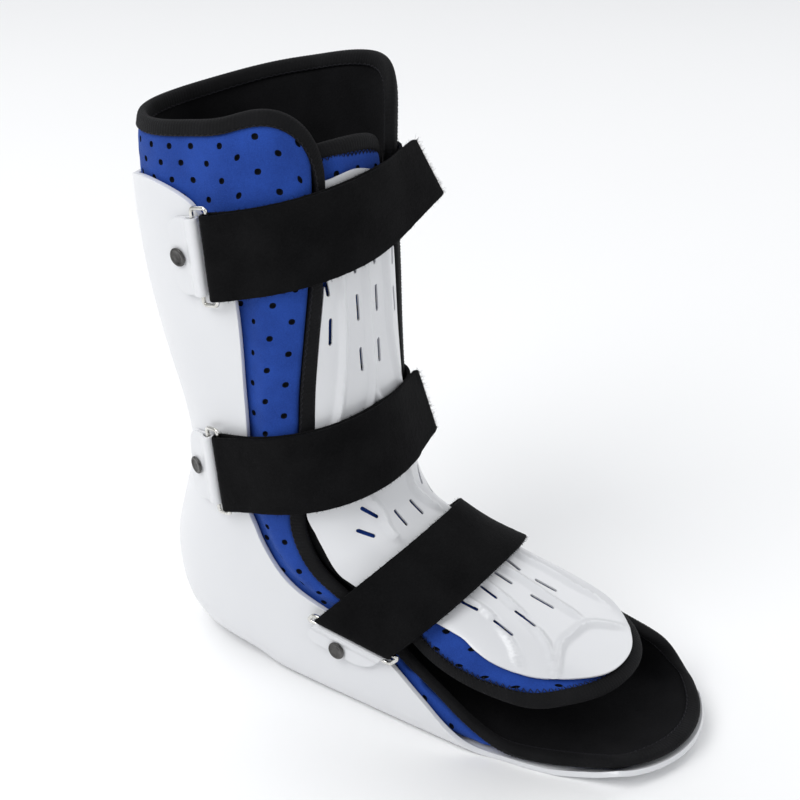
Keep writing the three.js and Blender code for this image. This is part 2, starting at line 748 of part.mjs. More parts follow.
const shankDepth = shellTop - shellLevel - 0.4;
const nearHead = tabThickness * 2 + 0.2 + 3 * pieceGap;
const farHead = strapThickness + 4 * pieceGap;
Object.entries(straps).forEach(([place, spec]) => {
  const frame = strapFrame(spec);
  const near = frame.spot(spec.bar, ringDepth + spec.rivet, spec.width / 2 - tabMargin);
  const far = frame.spot(spec.farShare + 0.04, 0, spec.width / 2);
  const drill = (spot) => toManifold(turned(spot.base, spot.normal, [[holeRadius, -8], [holeRadius, 8]], 8));
  shell = shell.subtract(drill(near)).subtract(drill(far));
  const strap = toManifold(strapBody(spec, frame)).subtract(drill(far));
  const tab = toManifold(tabBody(spec, frame)).subtract(drill(near));
  addPiece(`strap_${place}`, fromManifold(strap), black);
  addPiece(`ring_${place}`, ringBody(spec, frame), nickel);
  addPiece(`ring_tab_${place}`, fromManifold(tab), white);
  const nearProfile = [
    [shankRadius, -shankDepth],
    [shankRadius, nearHead],
    [headRadius, nearHead],
    [headRadius, nearHead + 0.8],
    [headRadius * 0.9, nearHead + 1.5],
    [headRadius * 0.62, nearHead + 1.4],
    [headRadius * 0.38, nearHead + 0.7],
  ];
  const farProfile = [
    [shankRadius, -shankDepth],
    [shankRadius, farHead],
    [farHeadRadius, farHead],
    [farHeadRadius * 0.8, farHead + 1.3],
  ];
  addPiece(`rivet_near_${place}`, turned(near.base, near.normal, nearProfile, 10), gunmetal);
  addPiece(`rivet_far_${place}`, turned(far.base, far.normal, farProfile, 8), gunmetal);
});
addPiece('shell', fromManifold(shell), white);

const inset = bindingWidth + seamGap;
const linerEdge = (width, spill) => edging(ladderRows, 18, (up, round, part, side) => {
  const level = side ? padThickness + spill : -spill;
  return linerPoint(up, round, part ? width : 0, level);
});
const linerPad = toManifold(wall(ladderRows, 18, (up, round, side) => linerPoint(up, round, inset, side * padThickness)));
const seamCutter = toManifold(linerEdge(bindingWidth + pieceGap, 1.5));
addPiece('liner', fromManifold(linerPad.subtract(seamCutter)), blue);
addPiece('liner_binding', linerEdge(bindingWidth, bindingSwell), black);

addPiece('tongue_pad', wall(24, 8, (up, round, side) => tonguePoint(up, round, inset, side)), blue);
addPiece('tongue_binding', edging(24, 8, (up, round, width, side) => tonguePoint(up, round, width, side)), black);

let shield = toManifold(wall(26, 8, shieldPoint));
ribTable.forEach((points) => {
  const centres = points.map(([station, share]) => layerPoint(station, -1 + share, shieldTop));
  const profiles = points.map(([station, share], i) => {
    const top = layerPoint(station, -1 + share, shieldTop + 1);
    const normal = top.clone().sub(centres[i]).normalize();
    const way = centres[Math.min(i + 1, centres.length - 1)].clone().sub(centres[Math.max(i - 1, 0)]);
    const side = way.cross(normal).normalize();
    const foot = centres[i].clone().addScaledVector(normal, -0.9);
    const end = i === 0 || i === points.length - 1;
    const peak = centres[i].clone().addScaledVector(normal, end ? -0.3 : ribHeight);
    return [
      foot.clone().addScaledVector(side, -ribWidth / 2),
      peak,
      foot.clone().addScaledVector(side, ribWidth / 2),
    ];
  });
  shield = shield.add(toManifold(bar(profiles, false)));
});
slotTable.forEach(([startStation, startShare, endStation, endShare]) => {
  const profiles = [[startStation, startShare], [endStation, endShare]].map(([station, share]) => {
    const low = layerPoint(station, -1 + share, shieldLevel - 2);
    const high = layerPoint(station, -1 + share, shieldTop + 4);
    return { low, high };
  });
  const way = profiles[1].low.clone().sub(profiles[0].low);
  const blocks = profiles.map(({ low, high }) => {
    const side = high.clone().sub(low).cross(way).normalize().multiplyScalar(slotWidth / 2);
    return [low.clone().sub(side), high.clone().sub(side), high.clone().add(side), low.clone().add(side)];
  });
  shield = shield.subtract(toManifold(bar(blocks, false)));
});
addPiece('front_shield', fromManifold(shield), white);

export default group;
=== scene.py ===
import math

import bpy
import numpy as np
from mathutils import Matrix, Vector


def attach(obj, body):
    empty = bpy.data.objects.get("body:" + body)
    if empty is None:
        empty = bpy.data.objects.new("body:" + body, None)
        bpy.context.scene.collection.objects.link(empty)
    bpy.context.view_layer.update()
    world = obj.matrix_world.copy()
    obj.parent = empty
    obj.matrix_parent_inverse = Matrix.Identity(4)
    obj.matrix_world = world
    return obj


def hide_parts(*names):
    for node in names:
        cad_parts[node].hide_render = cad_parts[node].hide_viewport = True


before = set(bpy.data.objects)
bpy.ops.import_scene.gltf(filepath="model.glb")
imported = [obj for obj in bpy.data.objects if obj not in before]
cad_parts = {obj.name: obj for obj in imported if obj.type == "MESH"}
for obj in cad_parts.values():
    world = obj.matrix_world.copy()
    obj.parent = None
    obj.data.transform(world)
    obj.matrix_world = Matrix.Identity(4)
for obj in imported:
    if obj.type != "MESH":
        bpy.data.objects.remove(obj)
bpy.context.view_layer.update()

print("frame loaded")

# The inner form, in millimetres: sections from the toe to the top
boot = {"length": 320, "height": 345, "width": 118}
# backY, backZ, frontY, frontZ, half, backSquareness, frontSquareness, centre, bow, twist
sectionTable = [
    [-0.487, 0.046, -0.494, 0.084, 0.415, 3.4, 2.8, 0.102, 1, 5],
    [-0.422, 0.032, -0.438, 0.096, 0.432, 4.5, 3, 0.102, 0.62, 4],
    [-0.322, 0.019, -0.369, 0.11, 0.441, 6, 3.2, 0.093, 0.28, 3],
    [-0.194, 0.014, -0.281, 0.139, 0.436, 6.5, 3.5, 0.085, 0.06, 1],
    [-0.069, 0.014, -0.194, 0.168, 0.415, 6.5, 3.7, 0.076, 0, 0],
    [0.063, 0.014, -0.131, 0.191, 0.39, 6, 3.7, 0.068, 0, 0],
    [0.188, 0.014, -0.069, 0.217, 0.364, 5.5, 3.7, 0.059, 0, 0],
    [0.313, 0.014, -0.019, 0.243, 0.343, 4.5, 3.7, 0.042, 0, 3],
    [0.434, 0.02, 0.019, 0.267, 0.331, 3, 3.6, 0.034, 0, 3],
    [0.487, 0.078, 0.044, 0.287, 0.331, 2.4, 3.5, 0.025, 0, 4],
    [0.484, 0.162, 0.066, 0.31, 0.339, 2.3, 3.3, 0.025, 0, 5],
    [0.456, 0.255, 0.084, 0.342, 0.347, 2.2, 3.1, 0.017, 0, 6],
    [0.422, 0.348, 0.1, 0.394, 0.356, 2.2, 2.9, 0.008, 0, 6],
    [0.428, 0.449, 0.116, 0.47, 0.369, 2.2, 2.8, 0, 0, 6],
    [0.463, 0.565, 0.125, 0.574, 0.394, 2.2, 2.7, 0, 0, 6],
    [0.491, 0.681, 0.131, 0.687, 0.415, 2.2, 2.7, 0, 0, 6],
    [0.503, 0.812, 0.141, 0.814, 0.441, 2.2, 2.6, 0.008, 0, 6],
    [0.5, 1.014, 0.15, 1.014, 0.475, 2.2, 2.6, 0.017, 0, 6],
]
columnUnits = [boot["length"], boot["height"]] * 2 + [boot["width"], 1, 1, boot["width"], 1, 1]
sections = np.array(sectionTable) * np.array(columnUnits)
lastStation = len(sectionTable) - 1

# How far each layer reaches round the half girth: station, near side, far side
shellReach = [
    [0, 0.385, 0.385], [1, 0.385, 0.43], [2, 0.385, 0.51], [3, 0.36, 0.54], [3.6, 0.385, 0.55],
    [4.3, 0.455, 0.56], [5.15, 0.535, 0.575], [6.2, 0.6, 0.6], [7.4, 0.624, 0.624],
    [9.05, 0.612, 0.612], [10.65, 0.565, 0.565], [11.5, 0.53, 0.53], [12.5, 0.56, 0.56],
    [14, 0.62, 0.62], [15, 0.64, 0.64], [15.8, 0.625, 0.625], [16.15, 0.585, 0.585],
    [17, 0.56, 0.56],
]
linerReach = [
    [0, 0.405, 0.43], [0.5, 0.4, 0.49], [1, 0.4, 0.545], [1.8, 0.4, 0.61], [2.6, 0.415, 0.635],
    [3.4, 0.455, 0.64], [4.15, 0.515, 0.625], [4.75, 0.562, 0.61], [5.3, 0.603, 0.62],
    [5.9, 0.643, 0.64], [6.5, 0.698, 0.69], [7.5, 0.736, 0.725], [9.2, 0.746, 0.733],
    [11.4, 0.735, 0.733], [13.3, 0.79, 0.793], [14.5, 0.832, 0.82], [15.5, 0.864, 0.829],
    [16.4, 0.882, 0.834], [17, 0.866, 0.82],
]
tongueReach = [
    [1.8, 0.66, 0.7], [2.6, 0.63, 0.67], [3.2, 0.612, 0.655], [4, 0.598, 0.655],
    [4.7, 0.615, 0.66], [5.5, 0.66, 0.665], [6.2, 0.705, 0.69], [7.4, 0.733, 0.72],
    [9, 0.732, 0.72], [11.4, 0.695, 0.69], [12.5, 0.675, 0.675], [14, 0.705, 0.705],
    [15, 0.715, 0.715], [17, 0.72, 0.72],
]
shieldReach = [
    [2.1, 0.76, 0.74], [2.9, 0.715, 0.7], [3.7, 0.698, 0.7], [4.2, 0.713, 0.715],
    [4.75, 0.74, 0.74], [5.75, 0.757, 0.757], [7.8, 0.77, 0.77], [9.2, 0.779, 0.779],
    [10.4, 0.765, 0.77], [11.4, 0.742, 0.757], [13.3, 0.791, 0.811], [14.5, 0.832, 0.84],
    [15.5, 0.865, 0.85], [17, 0.885, 0.86],
]
# Top and toe edges: way round from the near edge to the far edge, station
shellRim = [[-1, 15.95], [-0.9, 16.15], [-0.6, 16.2], [-0.2, 16], [0.2, 16], [0.6, 16.2],
            [0.9, 16.15], [1, 15.95]]
linerRim = [[-1, 16.4], [-0.96, 16.64], [-0.85, 16.85], [-0.6, 16.7], [-0.3, 16.55], [0.1, 16.5],
            [0.4, 16.65], [0.7, 16.85], [0.9, 16.75], [0.97, 16.5], [1, 16.25]]
tongueToe = [[-1, 2.6], [-0.8, 2.24], [-0.5, 1.97], [0, 1.88], [0.5, 1.97], [0.8, 2.24], [1, 2.6]]
tongueRim = [[-1, 16.05], [-0.5, 16.4], [0, 16.5], [0.6, 16.5], [1, 16.4]]
shieldToe = [[-1, 2.95], [-0.8, 2.55], [-0.5, 2.24], [0, 2.14], [0.5, 2.24], [0.8, 2.55],
             [1, 2.95]]
shieldRim = [[-1, 16.15], [0, 16.3], [1, 16.3]]
# Tongue: tucked under the flaps above this station
tuck = {"station": 5.7, "span": 0.6, "fade": 0.035}
# Flaps: shares past the shell's edge, and how they change above the shell
flap = {"clear": 0.012, "step": 0.05, "least": 0.03, "shellTop": 15, "aboveFrom": 15.2,
        "aboveSpan": 0.7, "aboveShift": 0.14, "aboveStep": 0.24}

# Levels above the lining's inner face, in millimetres
level = {
    "base": 10.3, "pad": 6, "shell": 8.8, "shellTop": 10.3, "tongue": 0.5, "tongueTop": 6.5,
    "shield": 9.1, "strap": 12.8, "cover": 15.2, "bar": 14.8, "tab": 11.3, "flapLift": 5.2,
    "tongueTucked": 2.8,
}


def follow(table, column, at):
    t = np.asarray(table, float)
    last = len(t) - 1
    x = np.clip(at, t[0, 0], t[-1, 0])
    i = np.clip(np.searchsorted(t[:, 0], x, side="left") - 1, 0, last - 1)

    def slope(k):
        a, b = np.maximum(k - 1, 0), np.minimum(k + 1, last)
        return (t[b, column] - t[a, column]) / (t[b, 0] - t[a, 0])

    width = t[i + 1, 0] - t[i, 0]
    u = (x - t[i, 0]) / width
    p, q = t[i, column], t[i + 1, column]
    bend = width * u * (1 - u) * ((1 - u) * slope(i) - u * slope(i + 1))
    return p + (q - p) * u * u * (3 - 2 * u) + bend


def reachOf(table, station, far):
    return np.where(far, follow(table, 2, station), follow(table, 1, station))


def ease(value):
    t = np.clip(value, 0, 1)
    return t * t * (3 - 2 * t)


def mix(a, b, t):
    return a + (b - a) * t


def sectionAt(station):
    x = np.clip(station, 0, lastStation)
    i = np.minimum(np.floor(x).astype(int), lastStation - 1)
    t = (x - i)[..., None]
    a, b, c, d = (sections[np.clip(i + k, 0, lastStation)] for k in (-1, 0, 1, 2))
    square = (2 * a - 5 * b + 4 * c - d) * t ** 2
    cube = (3 * b - a - 3 * c + d) * t ** 3
    return 0.5 * (2 * b + (c - a) * t + square + cube)


# The form is worked out once on a fine net and read between its points
perStation, shareSteps, angleSteps = 20, 360, 217
bowShare = 0.95
netStations = np.linspace(0, lastStation, lastStation * perStation + 1)


def makeNet():
    angle = np.linspace(0, np.pi, angleSteps)
    net = np.zeros((len(netStations), shareSteps + 1, 3))
    lengths = np.zeros(len(netStations))
    for k, row in enumerate(sectionAt(netStations)):
        backY, backZ, frontY, frontZ, half, backSquare, frontSquare = row[:7]
        power = 2 / np.where(angle < np.pi / 2, backSquare, frontSquare)
        along = -np.sign(np.cos(angle)) * np.abs(np.cos(angle)) ** power
        across = np.abs(np.sin(angle)) ** power
        y = (backY + frontY) / 2 + (frontY - backY) / 2 * along
        z = (backZ + frontZ) / 2 + (frontZ - backZ) / 2 * along
        step = np.sqrt((half * np.diff(across)) ** 2 + np.diff(y) ** 2 + np.diff(z) ** 2)
        run = np.concatenate([[0], np.cumsum(step)])
        lengths[k] = run[-1]
        at = np.linspace(0, run[-1], shareSteps + 1)
        for axis, values in enumerate((across, y, z)):
            net[k, :, axis] = np.interp(at, run, values)
    return net, lengths


net, netLengths = makeNet()


def girth(station):
    return np.interp(station, netStations, netLengths)


def formPoint(station, share):
    station, share = np.broadcast_arrays(np.asarray(station, float), np.asarray(share, float))
    v = np.where(share > 1, share - 2, np.where(share < -1, share + 2, share))
    s = np.clip(station, 0, lastStation) * perStation
    i = np.minimum(s.astype(int), len(netStations) - 2)
    a = (s - i)[..., None]
    w = np.clip(np.abs(v), 0, 1) * shareSteps
    j = np.minimum(w.astype(int), shareSteps - 1)
    b = (w - j)[..., None]
    low = net[i, j] * (1 - b) + net[i, j + 1] * b
    high = net[i + 1, j] * (1 - b) + net[i + 1, j + 1] * b
    point = low * (1 - a) + high * a
    row = sectionAt(station)
    half, centre, bow, turn = row[..., 4], row[..., 7], row[..., 8], np.radians(row[..., 9])
    middle = (row[..., 0] + row[..., 2]) / 2
    x = np.sign(v) * point[..., 0]
    sag = 1 - np.sqrt(np.maximum(1 - (bowShare * x) ** 2, 0))
    localX = x * half
    localY = point[..., 1] + bow * half * sag - middle
    turnedX = localX * np.cos(turn) + localY * np.sin(turn)
    turnedY = localY * np.cos(turn) - localX * np.sin(turn)
    return np.stack([centre + turnedX, middle + turnedY, point[..., 2]], axis=-1)


def unit(vectors):
    return vectors / np.maximum(np.linalg.norm(vectors, axis=-1, keepdims=True), 1e-9)


# Point at a height above the form, in millimetres, never under the floor
def layerPoint(station, share, height):
    stepU, stepV = 0.07, 0.008
    low = np.maximum(station - stepU, 0)
    high = np.minimum(station + stepU, lastStation)
    along = formPoint(high, share) - formPoint(low, share)
    around = formPoint(station, share + stepV) - formPoint(station, share - stepV)
    normal = unit(np.cross(along, around))
    height = np.asarray(height, float)
    point = formPoint(station, share) + normal * height[..., None]
    point[..., 2] = np.maximum(point[..., 2], level["base"] - height)
    return point


# Millimetres for each station, along the form
def pitchAt(station, share):
    step = 0.1
    low, high = np.maximum(station - step, 0), np.minimum(station + step, lastStation)
    span = formPoint(high, share) - formPoint(low, share)
    return np.linalg.norm(span, axis=-1) / (high - low)


# How far a flap stands out from the form past the shell's edge
def liftAt(station, share):
    above = ease((station - flap["aboveFrom"]) / flap["aboveSpan"])
    edge = reachOf(shellReach, np.minimum(station, flap["shellTop"]), share > 0)
    start = edge + flap["clear"] - flap["aboveShift"] * above
    rise = (ease((np.abs(share) - start) / mix(flap["step"], flap["aboveStep"], above))
            * ease((station - tuck["station"]) / tuck["span"]))
    return level["flapLift"] * rise


# Even soft noise from sums of waves, the same on every run
def ripple(points, size, seed, waves=7):
    rng = np.random.default_rng(seed)
    total = np.zeros(points.shape[:-1])
    for _ in range(waves):
        way = unit(rng.normal(size=3)) * (2 * np.pi / size) * rng.uniform(0.6, 1.5)
        total += np.sin(points @ way + rng.uniform(0, 6.28))
    return total * 2 / waves


# Materials: a socket's id_data is its node tree
def newMaterial(name, color, roughness, **values):
    material = bpy.data.materials.new(name)
    material.use_nodes = True
    shader = material.node_tree.nodes["Principled BSDF"]
    shader.inputs["Base Color"].default_value = (*color, 1)
    shader.inputs["Roughness"].default_value = roughness
    setInputs(shader, values)
    return material, shader


def setInputs(node, values):
    for name, value in values.items():
        node.inputs[name.replace("_", " ")].default_value = value


# New node fed by a socket
def addNode(source, kind, target=None, **values):
    tree = source.id_data
    node = tree.nodes.new("ShaderNode" + kind)
    setInputs(node, values)
    if target:
        tree.links.new(source, node.inputs[target])
    return node


def link(source, target):
    source.id_data.links.new(source, target)


def addNoise(place, scale, detail=3.0, stretch=None):
    if stretch:
        place = addNode(place, "Mapping", "Vector", Scale=stretch).outputs["Vector"]
    return addNode(place, "TexNoise", "Vector", Scale=scale, Detail=detail).outputs["Fac"]


def addRange(value, low, high, fromLow=0.35, fromHigh=0.65):
    return addNode(value, "MapRange", "Value", From_Min=fromLow, From_Max=fromHigh, To_Min=low,
                   To_Max=high).outputs["Result"]


def addColors(value, dark, light, target):
    blend = addNode(value, "Mix")
    blend.data_type = "RGBA"
    setInputs(blend, {"A": (*dark, 1), "B": (*light, 1)})
    link(value, blend.inputs["Factor"])
    link(blend.outputs["Result"], target)


def addBump(shader, value, strength, distance, after=None):
    bump = addNode(value, "Bump", "Height", Strength=strength, Distance=distance)
    if after:
        link(after.outputs["Normal"], bump.inputs["Normal"])
    link(bump.outputs["Normal"], shader.inputs["Normal"])
    return bump


def coordinatesOf(shader, output):
    return addNode(shader.inputs["Roughness"], "TexCoord").outputs[output]


def makePlastic(name, dark, light):
    material, shader = newMaterial(
        name, light, 0.3, Specular_IOR_Level=0.5, Coat_Weight=0.25, Coat_Roughness=0.12,
        Subsurface_Weight=0.04, Subsurface_Radius=(0.004, 0.004, 0.004))
    place = coordinatesOf(shader, "Object")
    addColors(addRange(addNoise(place, 9, 2), 0, 1), dark, light, shader.inputs["Base Color"])
    link(addRange(addNoise(place, 22, 2), 0.29, 0.34), shader.inputs["Roughness"])
    flow, skin = addNoise(place, 34, 2), addNoise(place, 900, 2)
    addBump(shader, skin, 0.04, 0.0001, addBump(shader, flow, 0.03, 0.0008))
    return material


def addWeave(place, scale):
    waves = []
    for direction in ("X", "Y"):
        wave = addNode(place, "TexWave", "Vector", Scale=scale, Distortion=0.6, Detail=1)
        wave.bands_direction = direction
        waves.append(wave.outputs["Fac"])
    product = addNode(place, "Math")
    product.operation = "MULTIPLY"
    for source, target in zip(waves, product.inputs):
        link(source, target)
    return product.outputs["Value"]


def makeCloth(name, dark, light, sheen, tint, weaveScale, grain, roughness=0.8):
    material, shader = newMaterial(
        name, light, roughness, Sheen_Weight=sheen, Sheen_Roughness=0.35,
        Sheen_Tint=(*tint, 1), Specular_IOR_Level=0.12)
    place = coordinatesOf(shader, "Object")
    weave = addWeave(coordinatesOf(shader, "UV"), weaveScale)
    fuzz = addNoise(place, grain, 4)
    total = addNode(place, "Math")
    total.operation = "MULTIPLY_ADD"
    link(fuzz, total.inputs[0])
    total.inputs[1].default_value = 0.7
    link(addNoise(place, 45, 5), total.inputs[2])
    shade = addRange(total.outputs["Value"], 0, 1, 0.55, 1.15)
    addColors(shade, dark, light, shader.inputs["Base Color"])
    addBump(shader, fuzz, 0.4, 0.0006, addBump(shader, weave, 0.35, 0.0003))
    return material


def makeMetal(name, dark, light, low, high):
    material, shader = newMaterial(name, light, low, Metallic=1.0)
    place = coordinatesOf(shader, "Object")
    addColors(addRange(addNoise(place, 220, 5), 0, 1), dark, light, shader.inputs["Base Color"])
    scratch = addNoise(place, 900, 4, (1, 0.2, 1))
    link(addRange(scratch, low, high), shader.inputs["Roughness"])
    addBump(shader, scratch, 0.08, 0.0002)
    return material


whitePlastic = makePlastic("whitePlastic", (0.715, 0.722, 0.74), (0.74, 0.746, 0.762))
blueFabric = makeCloth("blueFabric", (0.012, 0.042, 0.23), (0.023, 0.078, 0.4), 0.16,
                       (0.3, 0.5, 1.0), 9, 1500)
blackLining = makeCloth("blackLining", (0.003, 0.003, 0.0035), (0.008, 0.008, 0.009), 0.03,
                        (0.6, 0.6, 0.65), 7, 1100, 0.9)
blackTape = makeCloth("blackTape", (0.003, 0.003, 0.0035), (0.009, 0.009, 0.01), 0.03,
                      (0.6, 0.6, 0.65), 12, 1800, 0.7)
blackPlush = makeCloth("blackPlush", (0.001, 0.001, 0.0013), (0.006, 0.006, 0.0065), 0.035,
                       (0.6, 0.6, 0.65), 5, 900, 0.95)
thread = makeCloth("thread", (0.006, 0.006, 0.008), (0.02, 0.02, 0.024), 0.15, (0.7, 0.7, 0.75),
                   20, 2500, 0.6)
holeShade = makeCloth("holeShade", (0.002, 0.003, 0.006), (0.006, 0.008, 0.014), 0.0,
                      (1, 1, 1), 9, 1500, 0.95)
nickel = makeMetal("nickel", (0.55, 0.54, 0.5), (0.8, 0.79, 0.76), 0.14, 0.26)
gunmetal = makeMetal("gunmetal", (0.045, 0.043, 0.042), (0.12, 0.118, 0.115), 0.26, 0.42)
print("materials made")


# Mesh helpers: points in millimetres
def deselectAll():
    bpy.ops.object.select_all(action="DESELECT")


def makeObject(name, points, faces, materials, flat=None, faceMaterials=None):
    mesh = bpy.data.meshes.new(name)
    mesh.from_pydata((np.asarray(points) / 1000).tolist(), [], faces)
    for material in materials:
        mesh.materials.append(material)
    if faceMaterials is not None:
        mesh.polygons.foreach_set("material_index", faceMaterials)
    layer = mesh.uv_layers.new(name="UVMap")
    loops = np.zeros(len(mesh.loops), dtype=np.int32)
    mesh.loops.foreach_get("vertex_index", loops)
    if flat is None:
        flat = np.asarray(points)[:, :2]
    layer.data.foreach_set("uv", (np.asarray(flat)[loops] / 10).ravel())
    mesh.validate()
    piece = bpy.data.objects.new(name, mesh)
    bpy.context.scene.collection.objects.link(piece)
    return piece


def activate(piece):
    deselectAll()
    piece.select_set(True)
    bpy.context.view_layer.objects.active = piece


def tidyNormals(piece):
    activate(piece)
    bpy.ops.object.mode_set(mode="EDIT")
    bpy.ops.mesh.select_all(action="SELECT")
    bpy.ops.mesh.normals_make_consistent(inside=False)
    bpy.ops.object.mode_set(mode="OBJECT")


def applyModifiers(piece):
    activate(piece)
    for name in [modifier.name for modifier in piece.modifiers]:
        bpy.ops.object.modifier_apply(modifier=name)


def thicken(piece, thickness, bevel, segments=3, angle=50):
    wall = piece.modifiers.new("wall", "SOLIDIFY")
    wall.thickness = thickness / 1000
    wall.offset = 0
    edge = piece.modifiers.new("edge", "BEVEL")
    edge.width = bevel / 1000
    edge.segments = segments
    edge.limit_method = "ANGLE"
    edge.angle_limit = math.radians(angle)
    applyModifiers(piece)
    tidyNormals(piece)


def smoothShade(piece, angle=40):
    activate(piece)
    bpy.ops.object.shade_smooth_by_angle(angle=math.radians(angle))


def subdivide(piece, levels=1):
    smoother = piece.modifiers.new("smoother", "SUBSURF")
    smoother.levels = levels
    smoother.render_levels = levels
    applyModifiers(piece)


def finishTube(piece):
    tidyNormals(piece)
    smoothShade(piece, 60)
    return piece


def settle(piece, slotName, *nodes):
    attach(piece, "root")
    if nodes:
        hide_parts(*nodes)


def gridFaces(rows, columns):
    i, j = np.indices((rows, columns))
    a = (i * (columns + 1) + j).ravel()
    return np.stack([a, a + 1, a + columns + 2, a + columns + 1], axis=1).tolist()


def tubeFaces(count, size, ring):
    faces = []
    for i in range(count if ring else count - 1):
        for j in range(size):
            a, b = i * size + j, i * size + (j + 1) % size
            c, d = ((i + 1) % count) * size + (j + 1) % size, ((i + 1) % count) * size + j
            faces.append([a, b, c, d])
    if not ring:
        faces.append(list(range(size))[::-1])
        faces.append([(count - 1) * size + k for k in range(size)])
    return faces


# A ring of points round each point of a line
def tubeGrid(line, side, tall, radius, sides):
    turns = 2 * np.pi * np.arange(sides) / sides
    side, tall = (np.broadcast_to(way, line.shape)[:, None] for way in (side, tall))
    radius = np.broadcast_to(radius, len(line))[:, None, None]
    around = side * np.cos(turns)[None, :, None] + tall * np.sin(turns)[None, :, None]
    return line[:, None] + radius * around


# Length walked along a line, at each of its points
def runOf(line):
    steps = np.linalg.norm(np.diff(line, axis=0), axis=1)
    return np.concatenate([[0], np.cumsum(steps)])


def gridUv(points):
    along = np.linalg.norm(np.diff(points, axis=0), axis=-1)
    along = np.vstack([np.zeros(points.shape[1]), np.cumsum(along, axis=0)])
    across = runOf(points[points.shape[0] // 2])
    return np.stack([np.broadcast_to(across, along.shape), along], axis=-1).reshape(-1, 2)


def sheetObject(name, grid, material):
    rows, columns = grid.shape[0] - 1, grid.shape[1] - 1
    return makeObject(name, grid.reshape(-1, 3), gridFaces(rows, columns), [material],
                      gridUv(grid))


# Evens out a net of points by its weights, its border included
def fairGrid(points, weight, rounds):
    for _ in range(rounds):
        even = points.copy()
        even[1:-1, 1:-1] = (points[:-2, 1:-1] + points[2:, 1:-1]
                            + points[1:-1, :-2] + points[1:-1, 2:]) / 4
        even[0, 1:-1] = (points[0, :-2] + points[0, 2:]) / 2
        even[1:-1, 0] = (points[:-2, 0] + points[2:, 0]) / 2
        even[1:-1, -1] = (points[:-2, -1] + points[2:, -1]) / 2
        even[0, 0] = (points[0, 1] + points[1, 0]) / 2
        even[0, -1] = (points[0, -2] + points[1, -1]) / 2
        points = mix(points, even, weight[..., None])
    return points


def aimed(place, target):
    return (Vector(target) - Vector(place)).to_track_quat("-Z", "Y").to_euler()


# Floor, camera and lights
stage = {"floor": 60, "lens": 83.57, "sensor": 36, "near": 0.01, "lampTarget": (0, 0, 0.15),
         "camera": (-0.73925, -0.44527, 0.63729), "target": (0.00953, 0.02263, 0.16782),
         "sky": (0.95, 0.97, 1, 1), "skyStrength": 0.53}
deselectAll()
bpy.ops.mesh.primitive_plane_add(size=stage["floor"], location=(0, 0, -0.0002))
floor = bpy.context.object
floor.name = "floor"
floorMaterial, shader = newMaterial("paleFloor", (0.97, 0.97, 0.97), 0.6)
addColors(addNoise(coordinatesOf(shader, "Object"), 3, 2), (0.96, 0.96, 0.96),
          (0.98, 0.98, 0.98), shader.inputs["Base Color"])
floor.data.materials.append(floorMaterial)

camera = bpy.data.objects.new("camera", bpy.data.cameras.new("camera"))
bpy.context.scene.collection.objects.link(camera)
camera.location = stage["camera"]
camera.rotation_euler = aimed(stage["camera"], stage["target"])
camera.data.lens = stage["lens"]
camera.data.sensor_width = stage["sensor"]
camera.data.clip_start = stage["near"]
bpy.context.scene.camera = camera

lights = [  # name, place, size, power
    ("keyLight", (-1.2, 0.5, 1.6), 1.1, 18.5),
    ("frontLight", (-0.5, -1.7, 1.1), 1.2, 5),
    ("sideLight", (1.5, -0.4, 1.2), 1.1, 5.5),
    ("backLight", (0.4, 1.4, 1.7), 1.2, 10.5),
]
for name, place, size, power in lights:
    lamp = bpy.data.objects.new(name, bpy.data.lights.new(name, "AREA"))
    lamp.data.size = size
    lamp.data.energy = power
    lamp.location = place
    lamp.rotation_euler = aimed(place, stage["lampTarget"])
    bpy.context.scene.collection.objects.link(lamp)
world = bpy.data.worlds.new("studio")
world.use_nodes = True
sky = world.node_tree.nodes["Background"]
sky.inputs["Color"].default_value = stage["sky"]
sky.inputs["Strength"].default_value = stage["skyStrength"]
bpy.context.scene.world = world
bpy.context.scene.view_settings.view_transform = "Standard"
print("stage set")

# Shell: one moulded sheet, faired at the heel, given its wall and rounded edges
shellShape = {"rows": 200, "columns": 112, "wall": 3, "edge": 1.2, "heelStations": (6.4, 10),
              "heelFade": 0.8, "heelShare": 0.42, "shareFade": 0.1, "fairPull": 0.6,
              "fairRounds": 60}
up = np.linspace(0, 1, shellShape["rows"] + 1)[:, None]
way = np.linspace(-1, 1, shellShape["columns"] + 1)[None, :]
station = up * follow(shellRim, 1, way)
share = way * reachOf(shellReach, station, way > 0)
points = layerPoint(station, share, level["shell"])
heelLow, heelHigh = shellShape["heelStations"]
heel = (ease((station - heelLow) / shellShape["heelFade"])
        * ease((heelHigh - station) / shellShape["heelFade"])
        * ease((shellShape["heelShare"] - np.abs(share)) / shellShape["shareFade"]))
points = fairGrid(points, shellShape["fairPull"] * heel, shellShape["fairRounds"])
points[..., 2] = np.maximum(points[..., 2], shellShape["wall"] / 2)
shell = sheetObject("bootShell", points, whitePlastic)
thicken(shell, shellShape["wall"], shellShape["edge"])
smoothShade(shell)
settle(shell, "white_plastic", "shell")
print("shell made")


